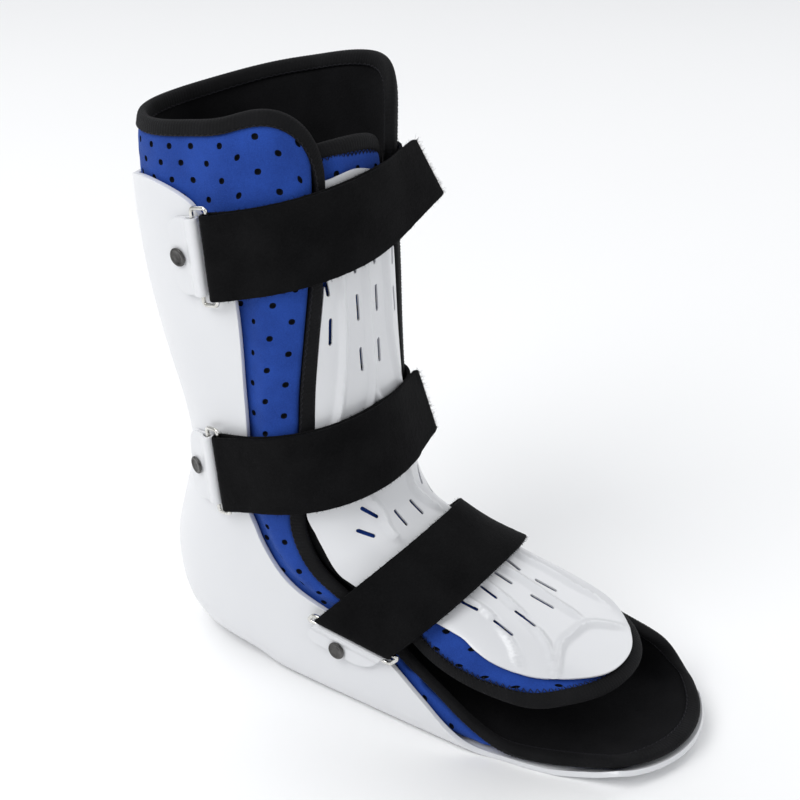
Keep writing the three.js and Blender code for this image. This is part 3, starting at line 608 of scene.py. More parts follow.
# Pads: a skin with dished holes, a lining, and walls between them
def padObject(name, outer, inner, holes, materials, dish):
    rows, columns = outer.shape[0] - 1, outer.shape[1] - 1
    count = (rows + 1) * (columns + 1)
    flatGrid = gridUv(outer)
    points = [*outer.reshape(-1, 3), *inner.reshape(-1, 3)]
    flat = [*flatGrid, *flatGrid]
    faces, kinds = [], []
    inward = unit(inner - outer).reshape(-1, 3)
    # eight-sided holes, turned to meet their cell's corners
    turns = np.radians(np.arange(8) * 45 - 157.5)
    for i in range(rows):
        for j in range(columns):
            a = i * (columns + 1) + j
            corners = [a, a + 1, a + columns + 2, a + columns + 1]
            faces.append([count + k for k in corners[::-1]])
            kinds.append(1)
            if not holes[i, j]:
                faces.append(corners)
                kinds.append(0)
                continue
            quad = np.array([points[k] for k in corners])
            quadFlat = np.array([flat[k] for k in corners])
            down = inward[corners].mean(axis=0)
            start = len(points)
            wide = np.linalg.norm(quad[1] - quad[0] + quad[2] - quad[3]) / 2
            tall = np.linalg.norm(quad[3] - quad[0] + quad[2] - quad[1]) / 2
            for radius, depth in dish:
                s = 0.5 + min(radius / wide, 0.47) * np.cos(turns)
                t = 0.5 + min(radius / tall, 0.47) * np.sin(turns)
                weights = np.stack([(1 - s) * (1 - t), s * (1 - t), s * t, (1 - s) * t], axis=1)
                points.extend(weights @ quad + down * depth)
                flat.extend(weights @ quadFlat)
            for k in range(4):
                first, second = start + 2 * k, start + 2 * k + 1
                third = start + (2 * k + 2) % 8
                faces.append([corners[k], second, first])
                faces.append([corners[k], corners[(k + 1) % 4], third, second])
                kinds.extend([0, 0])
            for ring in range(len(dish) - 1):
                for k in range(8):
                    low, high = start + 8 * ring, start + 8 * (ring + 1)
                    faces.append([low + k, low + (k + 1) % 8, high + (k + 1) % 8, high + k])
                    kinds.append(2)
            last = start + 8 * (len(dish) - 1)
            faces.append([last + k for k in range(8)])
            kinds.append(2)
    edge = ([k for k in range(columns + 1)]
            + [(i + 1) * (columns + 1) + columns for i in range(rows)]
            + [rows * (columns + 1) + columns - 1 - k for k in range(columns)]
            + [(rows - 1 - i) * (columns + 1) for i in range(rows - 1)])
    for a, b in zip(edge, edge[1:] + edge[:1]):
        faces.append([b, a, count + a, count + b])
        kinds.append(0)
    piece = makeObject(name, np.array(points), faces, materials, np.array(flat), kinds)
    tidyNormals(piece)
    subdivide(piece)
    smoothShade(piece, 60)
    return piece


dish = [(1.75, 0.0), (1.62, 0.35), (1.4, 1.5)]  # radius and depth


# Shares of the way up, evenly spaced along the form
def evenStations(low, high, share, pitch, samples=800):
    fine = np.linspace(low, high, samples)
    run = runOf(formPoint(fine, share))
    at = np.linspace(0, run[-1], int(run[-1] / pitch) + 1)
    return (np.interp(at, run, fine)[:, None] - low) / (high - low)


# Liner: fine cells along both edges, wide ones under the shell
liner = {"inset": 6.2, "cell": 4.0, "row": 4.45, "walk": (0.3, 16.5, -0.72), "fineColumns": 13,
         "wideColumns": 13, "crown": 0.7, "crownCells": 2.5, "roundOut": 0.9, "roundIn": 0.7,
         "soften": 0.35, "softSize": 46, "ruffle": 0.12, "ruffleSize": 15, "seeds": (11, 12),
         "rimAt": 16.5, "firstTop": 16.3, "toeAt": 0.2, "passes": 3, "holeShare": 0.03,
         "holeStation": 15.6}
# Ways round the rim at which the shell ends and the flap's step ends
shellWay, stepWay = 2 / 3, 7 / 9


def rimStation(share):
    far = share > 0
    reach = reachOf(linerReach, liner["rimAt"], far)
    start = reachOf(shellReach, flap["shellTop"], far) + flap["clear"]
    knee = start + flap["step"]
    size = np.abs(share)
    first = size / start * shellWay
    second = mix(shellWay, stepWay, (size - start) / flap["step"])
    third = mix(stepWay, 1, (size - knee) / (reach - knee))
    way = np.where(size < start, first, np.where(size < knee, second, third))
    return follow(linerRim, 1, np.sign(share) * np.clip(way, 0, 1))


def linerStation(ups, share, rim, inset):
    top = rim - inset / pitchAt(rim, share)
    toe = inset / pitchAt(liner["toeAt"], share)
    return mix(toe, top, ups)


def linerGrid():
    ups = evenStations(*liner["walk"], liner["row"])
    depths = liner["inset"] + liner["cell"] * np.arange(liner["fineColumns"] + 1)
    sides = []
    for side in (-1, 1):
        columns = []
        for depth in depths:
            station = ups * liner["firstTop"]
            for _ in range(liner["passes"]):
                share = side * (reachOf(linerReach, station, side > 0) - depth / girth(station))
                station = linerStation(ups, share, rimStation(share), liner["inset"])
            columns.append((station, share))
        sides.append([np.concatenate(parts, axis=1) for parts in zip(*columns)])
    (nearS, nearV), (farS, farV) = sides
    wide = np.linspace(0, 1, liner["wideColumns"] * 2 + 1)[1:-1][None, :]
    middleV = mix(nearV[:, -1:], farV[:, -1:], wide)
    middleS = linerStation(ups, middleV, rimStation(middleV), liner["inset"])
    return (np.concatenate([nearS, middleS, farS[:, ::-1]], axis=1),
            np.concatenate([nearV, middleV, farV[:, ::-1]], axis=1))


# 1 inside a pad, falling to 0 at its edge
def crownAt(shape, margin):
    i, j = np.indices(shape)
    near = np.minimum(np.minimum(i, shape[0] - 1 - i), np.minimum(j, shape[1] - 1 - j))
    return ease(near / margin)


station, share = linerGrid()
crown = crownAt(station.shape, liner["crownCells"])
base = formPoint(station, share)
lift = liftAt(station, share)
free = lift / level["flapLift"]
softSeed, ruffleSeed = liner["seeds"]
soft = (liner["soften"] * ripple(base, liner["softSize"], softSeed)
        + liner["ruffle"] * ripple(base, liner["ruffleSize"], ruffleSeed))
outer = layerPoint(station, share, level["pad"] - liner["roundOut"] * (1 - crown)
                   + lift + (liner["crown"] * crown + soft) * free)
inner = layerPoint(station, share, lift + liner["roundIn"] * (1 - crown) + soft * free * 0.6)
rows, columns = station.shape[0] - 1, station.shape[1] - 1
i, j = np.indices((rows, columns))
fromEdge = np.minimum(j, columns - 1 - j)
wideIndex = fromEdge - liner["fineColumns"]
fineHoles = ((fromEdge % 4 == 1) & (i % 4 == 0)) | ((fromEdge % 4 == 3) & (i % 4 == 2))
wideHoles = ((wideIndex % 2 == 0) & (i % 4 == 0)) | ((wideIndex % 2 == 1) & (i % 4 == 2))
staggered = np.where(wideIndex < 0, fineHoles, wideHoles)
cellStation, cellShare = station[:-1, :-1], share[:-1, :-1]
shellEdge = reachOf(shellReach, cellStation, cellShare > 0) - liner["holeShare"]
uncovered = (np.abs(cellShare) > shellEdge) | (cellStation > liner["holeStation"])
holes = staggered & uncovered & (i > 0) & (i < rows - 1)
padMaterials = [blueFabric, blackLining, holeShade]
linerPad = padObject("linerPad", outer, inner, holes, padMaterials, dish)
settle(linerPad, "blue_pad", "liner")
print("liner made")

# Tongue: padded sheet in front, under the shield
tongue = {"inset": 6.2, "row": 4.3, "walk": (2.0, 16.5, 1.0), "columns": 24, "crown": 0.3,
          "crownCells": 2, "roundOut": 0.8, "roundIn": 0.3, "soften": 0.15, "softSize": 40,
          "seed": 21}


def tongueGrid(ups, way, inset):
    toe, rim = follow(tongueToe, 1, way), follow(tongueRim, 1, way)

    def shareAt(at):
        return -1 + way * (1 - reachOf(tongueReach, at, way < 0) - inset / girth(at))

    low = toe + inset / pitchAt(toe, shareAt(toe))
    high = rim - inset / pitchAt(rim, shareAt(rim))
    at = mix(low, high, ups)
    return at, shareAt(at)


def tuckedAt(station, share):
    reach = 1 - np.abs(share + 1)
    clear = reachOf(linerReach, station, share < -1) + flap["clear"]
    under = 1 - ease((reach - clear) / tuck["fade"])
    return ease((station - tuck["station"]) / tuck["span"]) * under


def tongueLevel(station, share, top):
    open, tucked = level["tongueTop"] - level["tongue"], level["tongueTucked"]
    full = mix(open, tucked, tuckedAt(station, share))
    return level["tongue"] + np.where(top, full, 0)


ups = evenStations(*tongue["walk"], tongue["row"])
way = np.linspace(-1, 1, tongue["columns"] + 1)[None, :]
station, share = tongueGrid(ups, way, tongue["inset"])
crown = crownAt(station.shape, tongue["crownCells"])
free = 1 - tuckedAt(station, share)
soft = tongue["soften"] * ripple(formPoint(station, share), tongue["softSize"], tongue["seed"])
outer = layerPoint(station, share, tongueLevel(station, share, True)
                   - tongue["roundOut"] * (1 - crown) + (tongue["crown"] * crown + soft) * free)
inner = layerPoint(station, share, tongueLevel(station, share, False)
                   + tongue["roundIn"] * (1 - crown))
rows, columns = station.shape[0] - 1, station.shape[1] - 1
i, j = np.indices((rows, columns))
holes = ((j % 4 == 1) & (i % 4 == 1)) | ((j % 4 == 3) & (i % 4 == 3))
holes = holes & (i > 0) & (i < rows - 1)
tonguePad = padObject("tonguePad", outer, inner, holes, padMaterials, dish)
settle(tonguePad, "blue_pad", "tongue_pad")
print("tongue made")

# Bindings: a ribbed tape folded over the edge, with a zigzag seam on both faces
tape = {"width": 7.8, "step": 0.5, "rib": 2.0, "ribHeight": 0.16, "roundness": 18, "across": 1.3,
        "noseFrom": 4, "samples": 500}
# distance in from the edge, share of the half thickness, extra height, rib share
tapeProfile = [(7.8, 0.88, 0.0, 0), (7.4, 0.97, 0.3, 0.6), (6.2, 0.97, 0.5, 1), (4.6, 0.92, 0.4, 1),
               (3.0, 0.84, 0.3, 1), (1.7, 0.74, 0.2, 1), (0.7, 0.58, 0.1, 1), (0.1, 0.34, 0, 1),
               (-0.1, 0.0, 0, 1)]
tapeProfile += [(x, -share, -extra, rib) for x, share, extra, rib in tapeProfile[-2::-1]]
tapeProfile += [(7.7, -0.4, 0, 0), (7.7, 0.4, 0, 0)]
# zigzag thread: swing and dip at the four points of a stitch, height on the tape and past it
seam = {"stitch": 0.9, "radius": 0.27, "sides": 5, "swing": (-1, 0, 1, 0),
        "dip": (-0.1, 0.18, -0.1, 0.18), "onTape": 0.42, "pastTape": -0.35, "fade": 1.6}


# Closed lines at an even step, with rounded corners
def evenRing(arrays, step, roundness):
    edge = arrays[0]
    run = runOf(edge)
    total = run[-1] + np.linalg.norm(edge[0] - edge[-1])
    run = np.append(run, total)
    count = int(total / step)
    at = np.linspace(0, total, count, endpoint=False)
    width = int(roundness / step)
    kernel = np.hanning(2 * width + 3)[1:-1]
    kernel /= kernel.sum()
    results = []
    for array in arrays:
        closed = np.vstack([array, array[:1]])
        even = np.stack([np.interp(at, run, closed[:, k]) for k in range(3)], axis=1)
        padded = np.vstack([even[-width:], even, even[:width]])
        results.append(np.stack([np.convolve(padded[:, k], kernel, "valid") for k in range(3)],
                                axis=1))
    return results, total / count


def threadTube(line, upward):
    way = unit(np.roll(line, -1, axis=0) - np.roll(line, 1, axis=0))
    side = unit(np.cross(way, upward))
    grid = tubeGrid(line, side, np.cross(side, way), seam["radius"], seam["sides"])
    return grid.reshape(-1, 3), tubeFaces(len(line), seam["sides"], True)


def joinTubes(name, tubes, material, slotName):
    points, faces, start = [], [], 0
    for tubePoints, tubeFace in tubes:
        points.append(tubePoints)
        faces += [[start + k for k in face] for face in tubeFace]
        start += len(tubePoints)
    settle(finishTube(makeObject(name, np.vstack(points), faces, [material])), slotName)


# Tape round a pad's edge and its seam; stitch is the seam's distance in and its swing
def bindEdge(names, node, edgeAt, stitch):
    ups, ways = walkRound(tape["samples"])
    edges = [edgeAt(ups, ways, inset, top) for inset in (0, tape["width"]) for top in (False, True)]
    (low, top, innerLow, innerTop), step = evenRing(edges, tape["step"], tape["roundness"])
    middle = (low + top) / 2
    inward = unit((innerLow + innerTop) / 2 - middle)
    tall = unit(top - low + (innerTop - innerLow))
    thickEdge = np.linalg.norm(top - low, axis=1) / 2
    thickInside = np.linalg.norm(innerTop - innerLow, axis=1) / 2
    count = len(middle)
    wave = (0.5 - 0.5 * np.cos(2 * np.pi * np.arange(count) * step / tape["rib"])) ** 0.7
    rings = []
    for x, share, extra, ribShare in tapeProfile:
        half = mix(thickEdge, thickInside, np.clip(x / tape["width"], 0, 1))
        push = tape["ribHeight"] * ribShare * wave
        outward = np.sign(share) * np.minimum(np.abs(share) * 1.2, 1)
        nose = (1 - abs(outward)) if x < tape["noseFrom"] else 0
        rings.append(middle + inward * (x - push * nose)[:, None]
                     + tall * (share * half + extra + push * outward)[:, None])
    grid = np.stack(rings, axis=1)
    size = grid.shape[1]
    along = np.arange(count)[:, None] * step
    around = np.arange(size)[None, :] * tape["across"]
    flat = np.stack(np.broadcast_arrays(around, along), axis=-1).reshape(-1, 2)
    piece = makeObject(names[0], grid.reshape(-1, 3), tubeFaces(count, size, True), [blackTape],
                       flat)
    settle(finishTube(piece), "black_binding", node)
    number = int(count * step / seam["stitch"]) // 4 * 4
    at = np.linspace(0, count, number, endpoint=False)
    k = np.arange(number) % 4
    seamFrom, swingBy = stitch
    reach = seamFrom + np.array(seam["swing"])[k] * swingBy
    past = ease((reach - tape["width"]) / seam["fade"] + 0.5)
    dive = mix(seam["onTape"], seam["pastTape"], past) + np.array(seam["dip"])[k]

    def read(array):
        closed = np.concatenate([array, array[:1]])
        if closed.ndim == 1:
            return np.interp(at, np.arange(count + 1), closed)
        return np.stack([np.interp(at, np.arange(count + 1), closed[:, c]) for c in range(3)],
                        axis=1)

    threads = []
    for face in (1, -1):
        height = face * (read(thickInside) + dive)
        line = read(middle) + read(inward) * reach[:, None] + read(tall) * height[:, None]
        threads.append(threadTube(line, unit(read(tall))))
    joinTubes(names[1], threads, thread, "black_binding")


# Once round a sheet's edge, in shares of the way up and across
def walkRound(number):
    side = np.linspace(0, 1, number)
    ups = np.concatenate([side, np.ones(number), side[::-1], np.zeros(number)])
    ways = np.concatenate([-np.ones(number), np.linspace(-1, 1, number), np.ones(number),
                           np.linspace(1, -1, number)])
    keep = np.concatenate([[True], (np.diff(ups) != 0) | (np.diff(ways) != 0)])
    keep[-1] = False
    return ups[keep], ways[keep]


def linerEdge(ups, ways, inset, top):
    side, far, size = np.where(ways > 0, 1, -1), ways > 0, np.abs(ways)
    station = ups * liner["firstTop"]
    for _ in range(liner["passes"]):
        reach = reachOf(linerReach, station, far) - inset / girth(station)
        shellEdge = reachOf(shellReach, np.minimum(station, flap["shellTop"]), far)
        start = np.minimum(shellEdge + flap["clear"], reach - flap["least"])
        knee = start + flap["step"]
        first = size / shellWay * start
        second = mix(start, knee, (size - shellWay) / (stepWay - shellWay))
        third = mix(np.minimum(knee, reach - flap["clear"]), reach,
                    (size - stepWay) / (1 - stepWay))
        share = side * np.where(size < shellWay, first, np.where(size < stepWay, second, third))
        station = linerStation(ups, share, follow(linerRim, 1, ways), inset)
    return layerPoint(station, share, level["pad"] * top + liftAt(station, share))


def tongueEdge(ups, ways, inset, top):
    station, share = tongueGrid(ups, ways, inset)
    return layerPoint(station, share, tongueLevel(station, share, top))


bindEdge(("linerBinding", "linerSeam"), "liner_binding", linerEdge, (7.1, 0.4))
bindEdge(("tongueBinding", "tongueSeam"), "tongue_binding", tongueEdge, (8.4, 1.5))
print("bindings made")

# Shield: moulded sheet with soft ridges and long slots
shield = {"rows": 340, "columns": 84, "wall": 1.2, "edge": 0.35, "ridge": 2.7, "ridgeWidth": 7.5,
          "slot": 2.2, "slotClear": 2, "fairStation": 4.2, "fairSpan": 0.8, "fairPull": 0.8,
          "fairRounds": 55, "ridgeEnd": 0.25}
# ridges: station and share of the half girth from the middle line
ridgeTable = [
    [[15.9, 0.09], [15, 0.095], [14.2, 0.105], [13.4, 0.14], [12.6, 0.2]],
    [[15.9, -0.09], [15, -0.095], [14.2, -0.105], [13.4, -0.14], [12.6, -0.2]],
    [[15.9, 0], [15, 0], [14.2, 0], [13.6, 0], [12.9, 0.05], [12.2, 0.06]],
    [[13.6, 0], [12.9, -0.05], [12.2, -0.06]],
    [[11.4, 0.1], [10.4, 0.075], [9.2, 0.08], [8.2, 0.085]],
    [[11.4, -0.1], [10.4, -0.075], [9.2, -0.08], [8.2, -0.085]],
    [[6.1, 0.17], [5.7, 0.156], [4.75, 0.16], [3.9, 0.216], [3.35, 0.28]],
    [[6.1, 0.052], [4.65, 0.064], [3.5, 0.128], [2.95, 0.216]],
    [[6, -0.04], [4.85, -0.068], [3.9, -0.072], [3.2, -0.076]],
    [[6, -0.145], [5.3, -0.155], [4.55, -0.184], [3.75, -0.21], [3, -0.244]],
    [[2.8, 0.25], [2.95, 0.2], [3.15, 0.11], [3.15, 0.02], [3.05, -0.08], [2.5, -0.19]],
]
# slots: station and share at both ends
slotTable = [
    [15.42, 0.14, 15.12, 0.133], [15.42, -0.14, 15.12, -0.133],
    [14.78, 0.133, 14.45, 0.14], [14.78, -0.133, 14.45, -0.14],
    [15.6, 0.042, 15.3, 0.042], [15.6, -0.042, 15.3, -0.042],
    [14.97, 0.042, 14.65, 0.042], [14.97, -0.042, 14.65, -0.042],
    [14.2, 0.042, 13.88, 0.042], [14.2, -0.042, 13.88, -0.042],
    [10.9, 0.12, 10.15, 0.09], [11, -0.15, 10.2, -0.115],
    [9.95, 0.14, 9.25, 0.115], [9.95, -0.155, 9.25, -0.13],
    [9.8, 0.035, 8.8, 0.035], [9.8, -0.035, 8.8, -0.035],
    [5.45, 0.165, 5, 0.165], [5.45, -0.1, 5, -0.1],
    [4.45, 0.175, 3.95, 0.19], [4.45, -0.11, 3.95, -0.125],
    [5.35, 0.078, 4.9, 0.083], [5.35, -0.015, 4.9, -0.02],
    [4.25, 0.09, 3.75, 0.1], [4.25, -0.028, 3.75, -0.038],
]


def distanceTo(points, a, b):
    line = b - a
    t = np.clip(((points - a) @ line) / (line @ line), 0, 1)
    nearest = a + t[..., None] * line
    return np.linalg.norm(points - nearest, axis=-1), nearest


def shieldPoint(station, share):
    return layerPoint(np.asarray(station, float), -1 + np.asarray(share), level["shield"])


up = np.linspace(0, 1, shield["rows"] + 1)[:, None]
way = np.linspace(-1, 1, shield["columns"] + 1)[None, :]
station = mix(follow(shieldToe, 1, way), follow(shieldRim, 1, way), up)
share = -1 + way * (1 - reachOf(shieldReach, station, way < 0))
bare = layerPoint(station, share, level["shield"])
outward = unit(layerPoint(station, share, level["shield"] + 1) - bare)
fair = shield["fairPull"] * ease((shield["fairStation"] - station) / shield["fairSpan"])
plain = fairGrid(bare, fair, shield["fairRounds"])
rise = np.zeros(station.shape)
for ridge in ridgeTable:
    count = len(ridge)
    knots = np.column_stack([np.arange(count), ridge])
    fine = np.linspace(0, count - 1, 6 * count)
    line = shieldPoint(follow(knots, 1, fine), follow(knots, 2, fine))
    for k in range(len(line) - 1):
        away, _ = distanceTo(bare, line[k], line[k + 1])
        end = min(k, len(line) - 2 - k)
        peak = shield["ridge"] * min(1, shield["ridgeEnd"] + end / 4)
        slope = np.clip(1 - away / (shield["ridgeWidth"] / 2), 0, 1)
        rise = np.maximum(rise, peak * (slope ** 1.35 - 0.12 * slope ** 8))
# ridges are flat round the slots
slotEnds = [shieldPoint(slot[::2], slot[1::2]) for slot in slotTable]
clear = np.min([distanceTo(bare, *ends)[0] for ends in slotEnds], axis=0)
rise = rise * ease((clear - shield["slot"] / 2) / shield["slotClear"])
points = plain + outward * rise[..., None]
faces = np.array(gridFaces(shield["rows"], shield["columns"]))
flatPoints = points.reshape(-1, 3).copy()
bareFlat = bare.reshape(-1, 3)
centres = bareFlat[faces].mean(axis=1)
gone = np.zeros(len(faces), bool)
for ends in slotEnds:
    away, _ = distanceTo(centres, *ends)
    cut = away < shield["slot"] / 2
    gone |= cut
    rim = np.unique(faces[cut])
    _, nearest = distanceTo(bareFlat[rim], *ends)
    moved = nearest + unit(bareFlat[rim] - nearest) * shield["slot"] / 2
    flatPoints[rim] += moved - bareFlat[rim]
kept = faces[~gone]
used = np.unique(kept)
order = np.full(len(flatPoints), -1)
order[used] = np.arange(len(used))
shieldPiece = makeObject("frontShield", flatPoints[used], order[kept].tolist(), [whitePlastic],
                         gridUv(points)[used])
thicken(shieldPiece, shield["wall"], shield["edge"], 2)
smoothShade(shieldPiece)
settle(shieldPiece, "white_plastic", "front_shield")
print("shield made")

# Straps, their rings, tabs and rivets
strapTable = {
    "upper": {"ringY": 0.298, "ringZ": 0.76, "slope": 14, "bar": 0.395, "stations": (14, 16.8),
              "rivet": 12.5, "farShare": -0.56, "coverShare": -0.115, "tail": 27, "raise": 0.3,
              "width": 46, "endLow": (14, -6.6, 15.7), "endHigh": (0.4, 1.8, 2.4)},
    "middle": {"ringY": 0.3, "ringZ": 0.384, "slope": 14, "bar": 0.52, "stations": (10.4, 15),
               "rivet": 12.5, "farShare": -0.56, "coverShare": -0.115, "tail": 27, "raise": 0.3,
               "width": 46, "endLow": (1.9, 2.3, 5.2), "endHigh": (-2.8, 4, -0.5)},
    "lower": {"ringY": 0.045, "ringZ": 0.149, "slope": 48, "bar": 0.385, "stations": (3.4, 10),
              "rivet": 13, "farShare": -0.54, "coverShare": -0.36, "tail": 0, "raise": 0.9,
              "width": 41, "endLow": (0, 0, 0), "endHigh": (0, 0, 0)},
}
wire = {"radius": 1.15, "margin": 3.3, "depth": 9, "corner": 2.6, "sides": 18}
tab = {"margin": 2, "thickness": 1.4, "reach": 18, "corner": 9, "rise": 5.5, "pitch": 0.9,
       "columns": 30, "bevel": 0.45}
strap = {"thickness": 2, "wrap": 2.6, "pitch": 2.2, "columns": 22, "corner": 1.2, "bevel": 0.6,
         "riseRun": 14, "halfGirth": 165, "drift": 60, "innerSteps": 20, "outerSteps": 13}
# nap of the plush: height and size of two ripples and their seeds
nap = [(0.05, 5, 31), (0.07, 2, 32)]
# loose fibres: count, length, radius and droop, at the cut end and along the edges
fibre = {"end": (420, 2.6, 0.07, 0.4), "edge": (360, 1.3, 0.06, 0.5),
         "taper": np.array([1, 0.85, 0.6, 0.15])}
# rounds of a station's search, least step along a band in millimetres, points of a fold
searchRounds, leastStep, foldPoints = 22, 0.35, 11
tabWrap = wire["radius"] + 0.45 + tab["thickness"] / 2


# Plane of a strap: places on the form at an offset across it
class StrapFrame:
    def __init__(self, spec):
        slope = math.radians(spec["slope"])
        self.spec = spec
        self.plane = np.array([0, math.sin(slope), math.cos(slope)])
        self.middle = self.plane @ np.array([0, spec["ringY"] * boot["length"],
                                             spec["ringZ"] * boot["height"]])

    def stationAt(self, share, offset):
        share, offset = np.broadcast_arrays(np.asarray(share, float), np.asarray(offset, float))
        low = np.full(share.shape, float(self.spec["stations"][0]))
        high = np.full(share.shape, float(self.spec["stations"][1]))
        for _ in range(searchRounds):
            guess = (low + high) / 2
            over = layerPoint(guess, share, np.full(share.shape, level["strap"])) @ self.plane
            over = over > self.middle + offset
            high, low = np.where(over, guess, high), np.where(over, low, guess)
        return (low + high) / 2

    def girthAt(self, offset):
        return girth(self.stationAt(-1 + self.spec["bar"], offset))

    def place(self, share, run, offset, height):
        at = -1 + share + run / self.girthAt(offset)
        return layerPoint(self.stationAt(at, offset), at, height + np.zeros(np.shape(at)))

    def spot(self, share, run, half):
        low, high = ((self.place(np.array([share]), run, -half, level["shellTop"] + k)
                      + self.place(np.array([share]), run, half, level["shellTop"] + k))[0] / 2
                     for k in (0, 1))
        return low, unit(high - low)


def evenSteps(steps, scale, pitch):
    line = np.array([[share * scale + run, height] for share, run, height in steps])
    run = runOf(line)
    count = max(int(run[-1] / pitch), 4)
    keep = np.union1d(np.linspace(0, run[-1], count + 1), run[1:-1])
    keep = keep[np.concatenate([[True], np.diff(keep) > leastStep])]
    return np.stack([np.interp(keep, run, line[:, k]) for k in range(2)], axis=1)


def foldArc(share, height, wrap, sign):
    turns = np.radians(np.linspace(-90, 90, foldPoints))
    return [[share, sign * wrap * math.cos(a), height + wrap * math.sin(a)] for a in turns]


# Band of a strap or tab, with rounded ends, a free tail and shifted end corners
def bandGrid(frameOf, steps, half, columns, tail, corner, pitch, shifts=None):
    scale = float(frameOf.girthAt(0))
    line = evenSteps(steps, scale, pitch)
    edges = []
    for offset in (-half, half):
        edges.append(frameOf.place(line[:, 0] / scale, 0, offset, line[:, 1]))
    edges = np.stack(edges, axis=1)
    if tail:
        way = unit(edges[-1] - edges[-2])
        extra = [edges[-1] + way * k * pitch for k in range(1, int(tail / pitch) + 1)]
        edges = np.concatenate([edges, np.stack(extra)])
    run = runOf(edges.mean(axis=1))
    if shifts:
        drift = ease((run - run[-1] + strap["drift"]) / strap["drift"]) ** 1.4
        edges = edges + drift[:, None, None] * np.array(shifts)
    fromEnd = np.minimum(run, run[-1] - run)
    short = corner - np.sqrt(np.maximum(corner ** 2 - np.maximum(corner - fromEnd, 0) ** 2, 0))
    keep = 1 - np.minimum(short / half, 0.97)
    across = np.linspace(-1, 1, columns + 1)
    middle, reach = edges.mean(axis=1), (edges[:, 1] - edges[:, 0]) / 2
    return middle[:, None] + reach[:, None] * across[None, :, None] * keep[:, None, None]


def strapSteps(spec):
    inner, outer = [], []
    for k in range(strap["innerSteps"]):
        share = mix(spec["farShare"], spec["bar"] - 0.03, k / strap["innerSteps"])
        rest = ease((share - spec["farShare"] - 0.05) / 0.08)
        low = level["shellTop"] + 0.6 + strap["thickness"] / 2
        inner.append([share, 0, mix(low, level["strap"] + spec["raise"], rest)])
    for k in range(1, strap["outerSteps"] + 1):
        share = mix(spec["bar"], spec["coverShare"], k / strap["outerSteps"])
        run = (spec["bar"] - share) * strap["halfGirth"]
        rise = 1 - ease(run / strap["riseRun"])
        height = mix(level["cover"], level["bar"] + strap["wrap"], rise)
        outer.append([share, 0, spec["raise"] + height])
    arc = foldArc(spec["bar"], level["bar"] + spec["raise"], strap["wrap"], 1)
    return inner + arc + outer


def tabSteps(spec):
    inner, outer = [], []
    low, high = level["tab"], level["tab"] + tab["thickness"] + 0.2
    for k in range(4):
        inner.append([spec["bar"], wire["depth"] + mix(tab["reach"], 2.5, k / 4), low])
    for k in range(1, 9):
        run = mix(1, tab["reach"], k / 8)
        height = mix(high, level["tab"] + 2 * tabWrap, 1 - ease((run - 1) / tab["rise"]))
        outer.append([spec["bar"], wire["depth"] + run, height])
    arc = foldArc(spec["bar"], level["tab"] + tabWrap, tabWrap, -1)
    for step in arc:
        step[1] += wire["depth"]
    return inner + arc + outer


def ringObject(name, spec, frameOf):
    half = spec["width"] / 2

    def ends(run, reach, height, extra):
        a = frameOf.place(np.array([spec["bar"]]), run, -reach, height)[0]
        b = frameOf.place(np.array([spec["bar"]]), run, reach, height)[0]
        way = unit(b - a) * extra
        return a - way, b + way

    frontLow, frontHigh = ends(0, half, level["bar"] + spec["raise"], wire["margin"])
    rearLow, rearHigh = ends(wire["depth"], half - tab["margin"], level["tab"] + tabWrap,
                             wire["margin"] + tab["margin"])
    corners = [frontLow, frontHigh, rearHigh, rearLow]
    normal = unit(np.cross(frontHigh - frontLow, rearLow - frontLow))
    path = []
    for k, corner in enumerate(corners):
        back, on = unit(corners[k - 1] - corner), unit(corners[(k + 1) % 4] - corner)
        start, end = corner + back * wire["corner"], corner + on * wire["corner"]
        for t in np.linspace(0, 1, 9):
            path.append(start * (1 - t) ** 2 + corner * 2 * t * (1 - t) + end * t * t)
    path = np.array(path)
    way = unit(np.roll(path, -1, axis=0) - np.roll(path, 1, axis=0))
    out = np.cross(normal, way)
    grid = tubeGrid(path, out, normal, wire["radius"], wire["sides"])
    return finishTube(makeObject(name, grid.reshape(-1, 3),
                                 tubeFaces(len(path), wire["sides"], True), [nickel]))


# Rivets are turned by hand: a disc, extruded and scaled row by row
def rivetObject(name, base, normal, profile):
    deselectAll()
    bpy.ops.mesh.primitive_circle_add(vertices=56, radius=profile[0][0] / 1000, fill_type="NGON",
                                      location=(0, 0, 0))
    piece = bpy.context.object
    piece.name = name
    bpy.ops.object.mode_set(mode="EDIT")
    bpy.ops.mesh.select_all(action="SELECT")
    bpy.ops.transform.translate(value=(0, 0, profile[0][1] / 1000))
    for (radiusBefore, heightBefore), (radius, height) in zip(profile, profile[1:]):
        bpy.ops.mesh.extrude_region_move(
            TRANSFORM_OT_translate={"value": (0, 0, (height - heightBefore) / 1000)})
        size = radius / radiusBefore
        bpy.ops.transform.resize(value=(size, size, 1), center_override=(0, 0, height / 1000))
    bpy.ops.mesh.select_all(action="SELECT")
    bpy.ops.mesh.normals_make_consistent(inside=False)
    bpy.ops.object.mode_set(mode="OBJECT")
    turn = Vector((0, 0, 1)).rotation_difference(Vector(normal)).to_matrix().to_4x4()
    turn.translation = Vector(base) / 1000
    piece.data.transform(turn)
    piece.data.materials.append(gunmetal)
    smoothShade(piece, 50)
    return piece


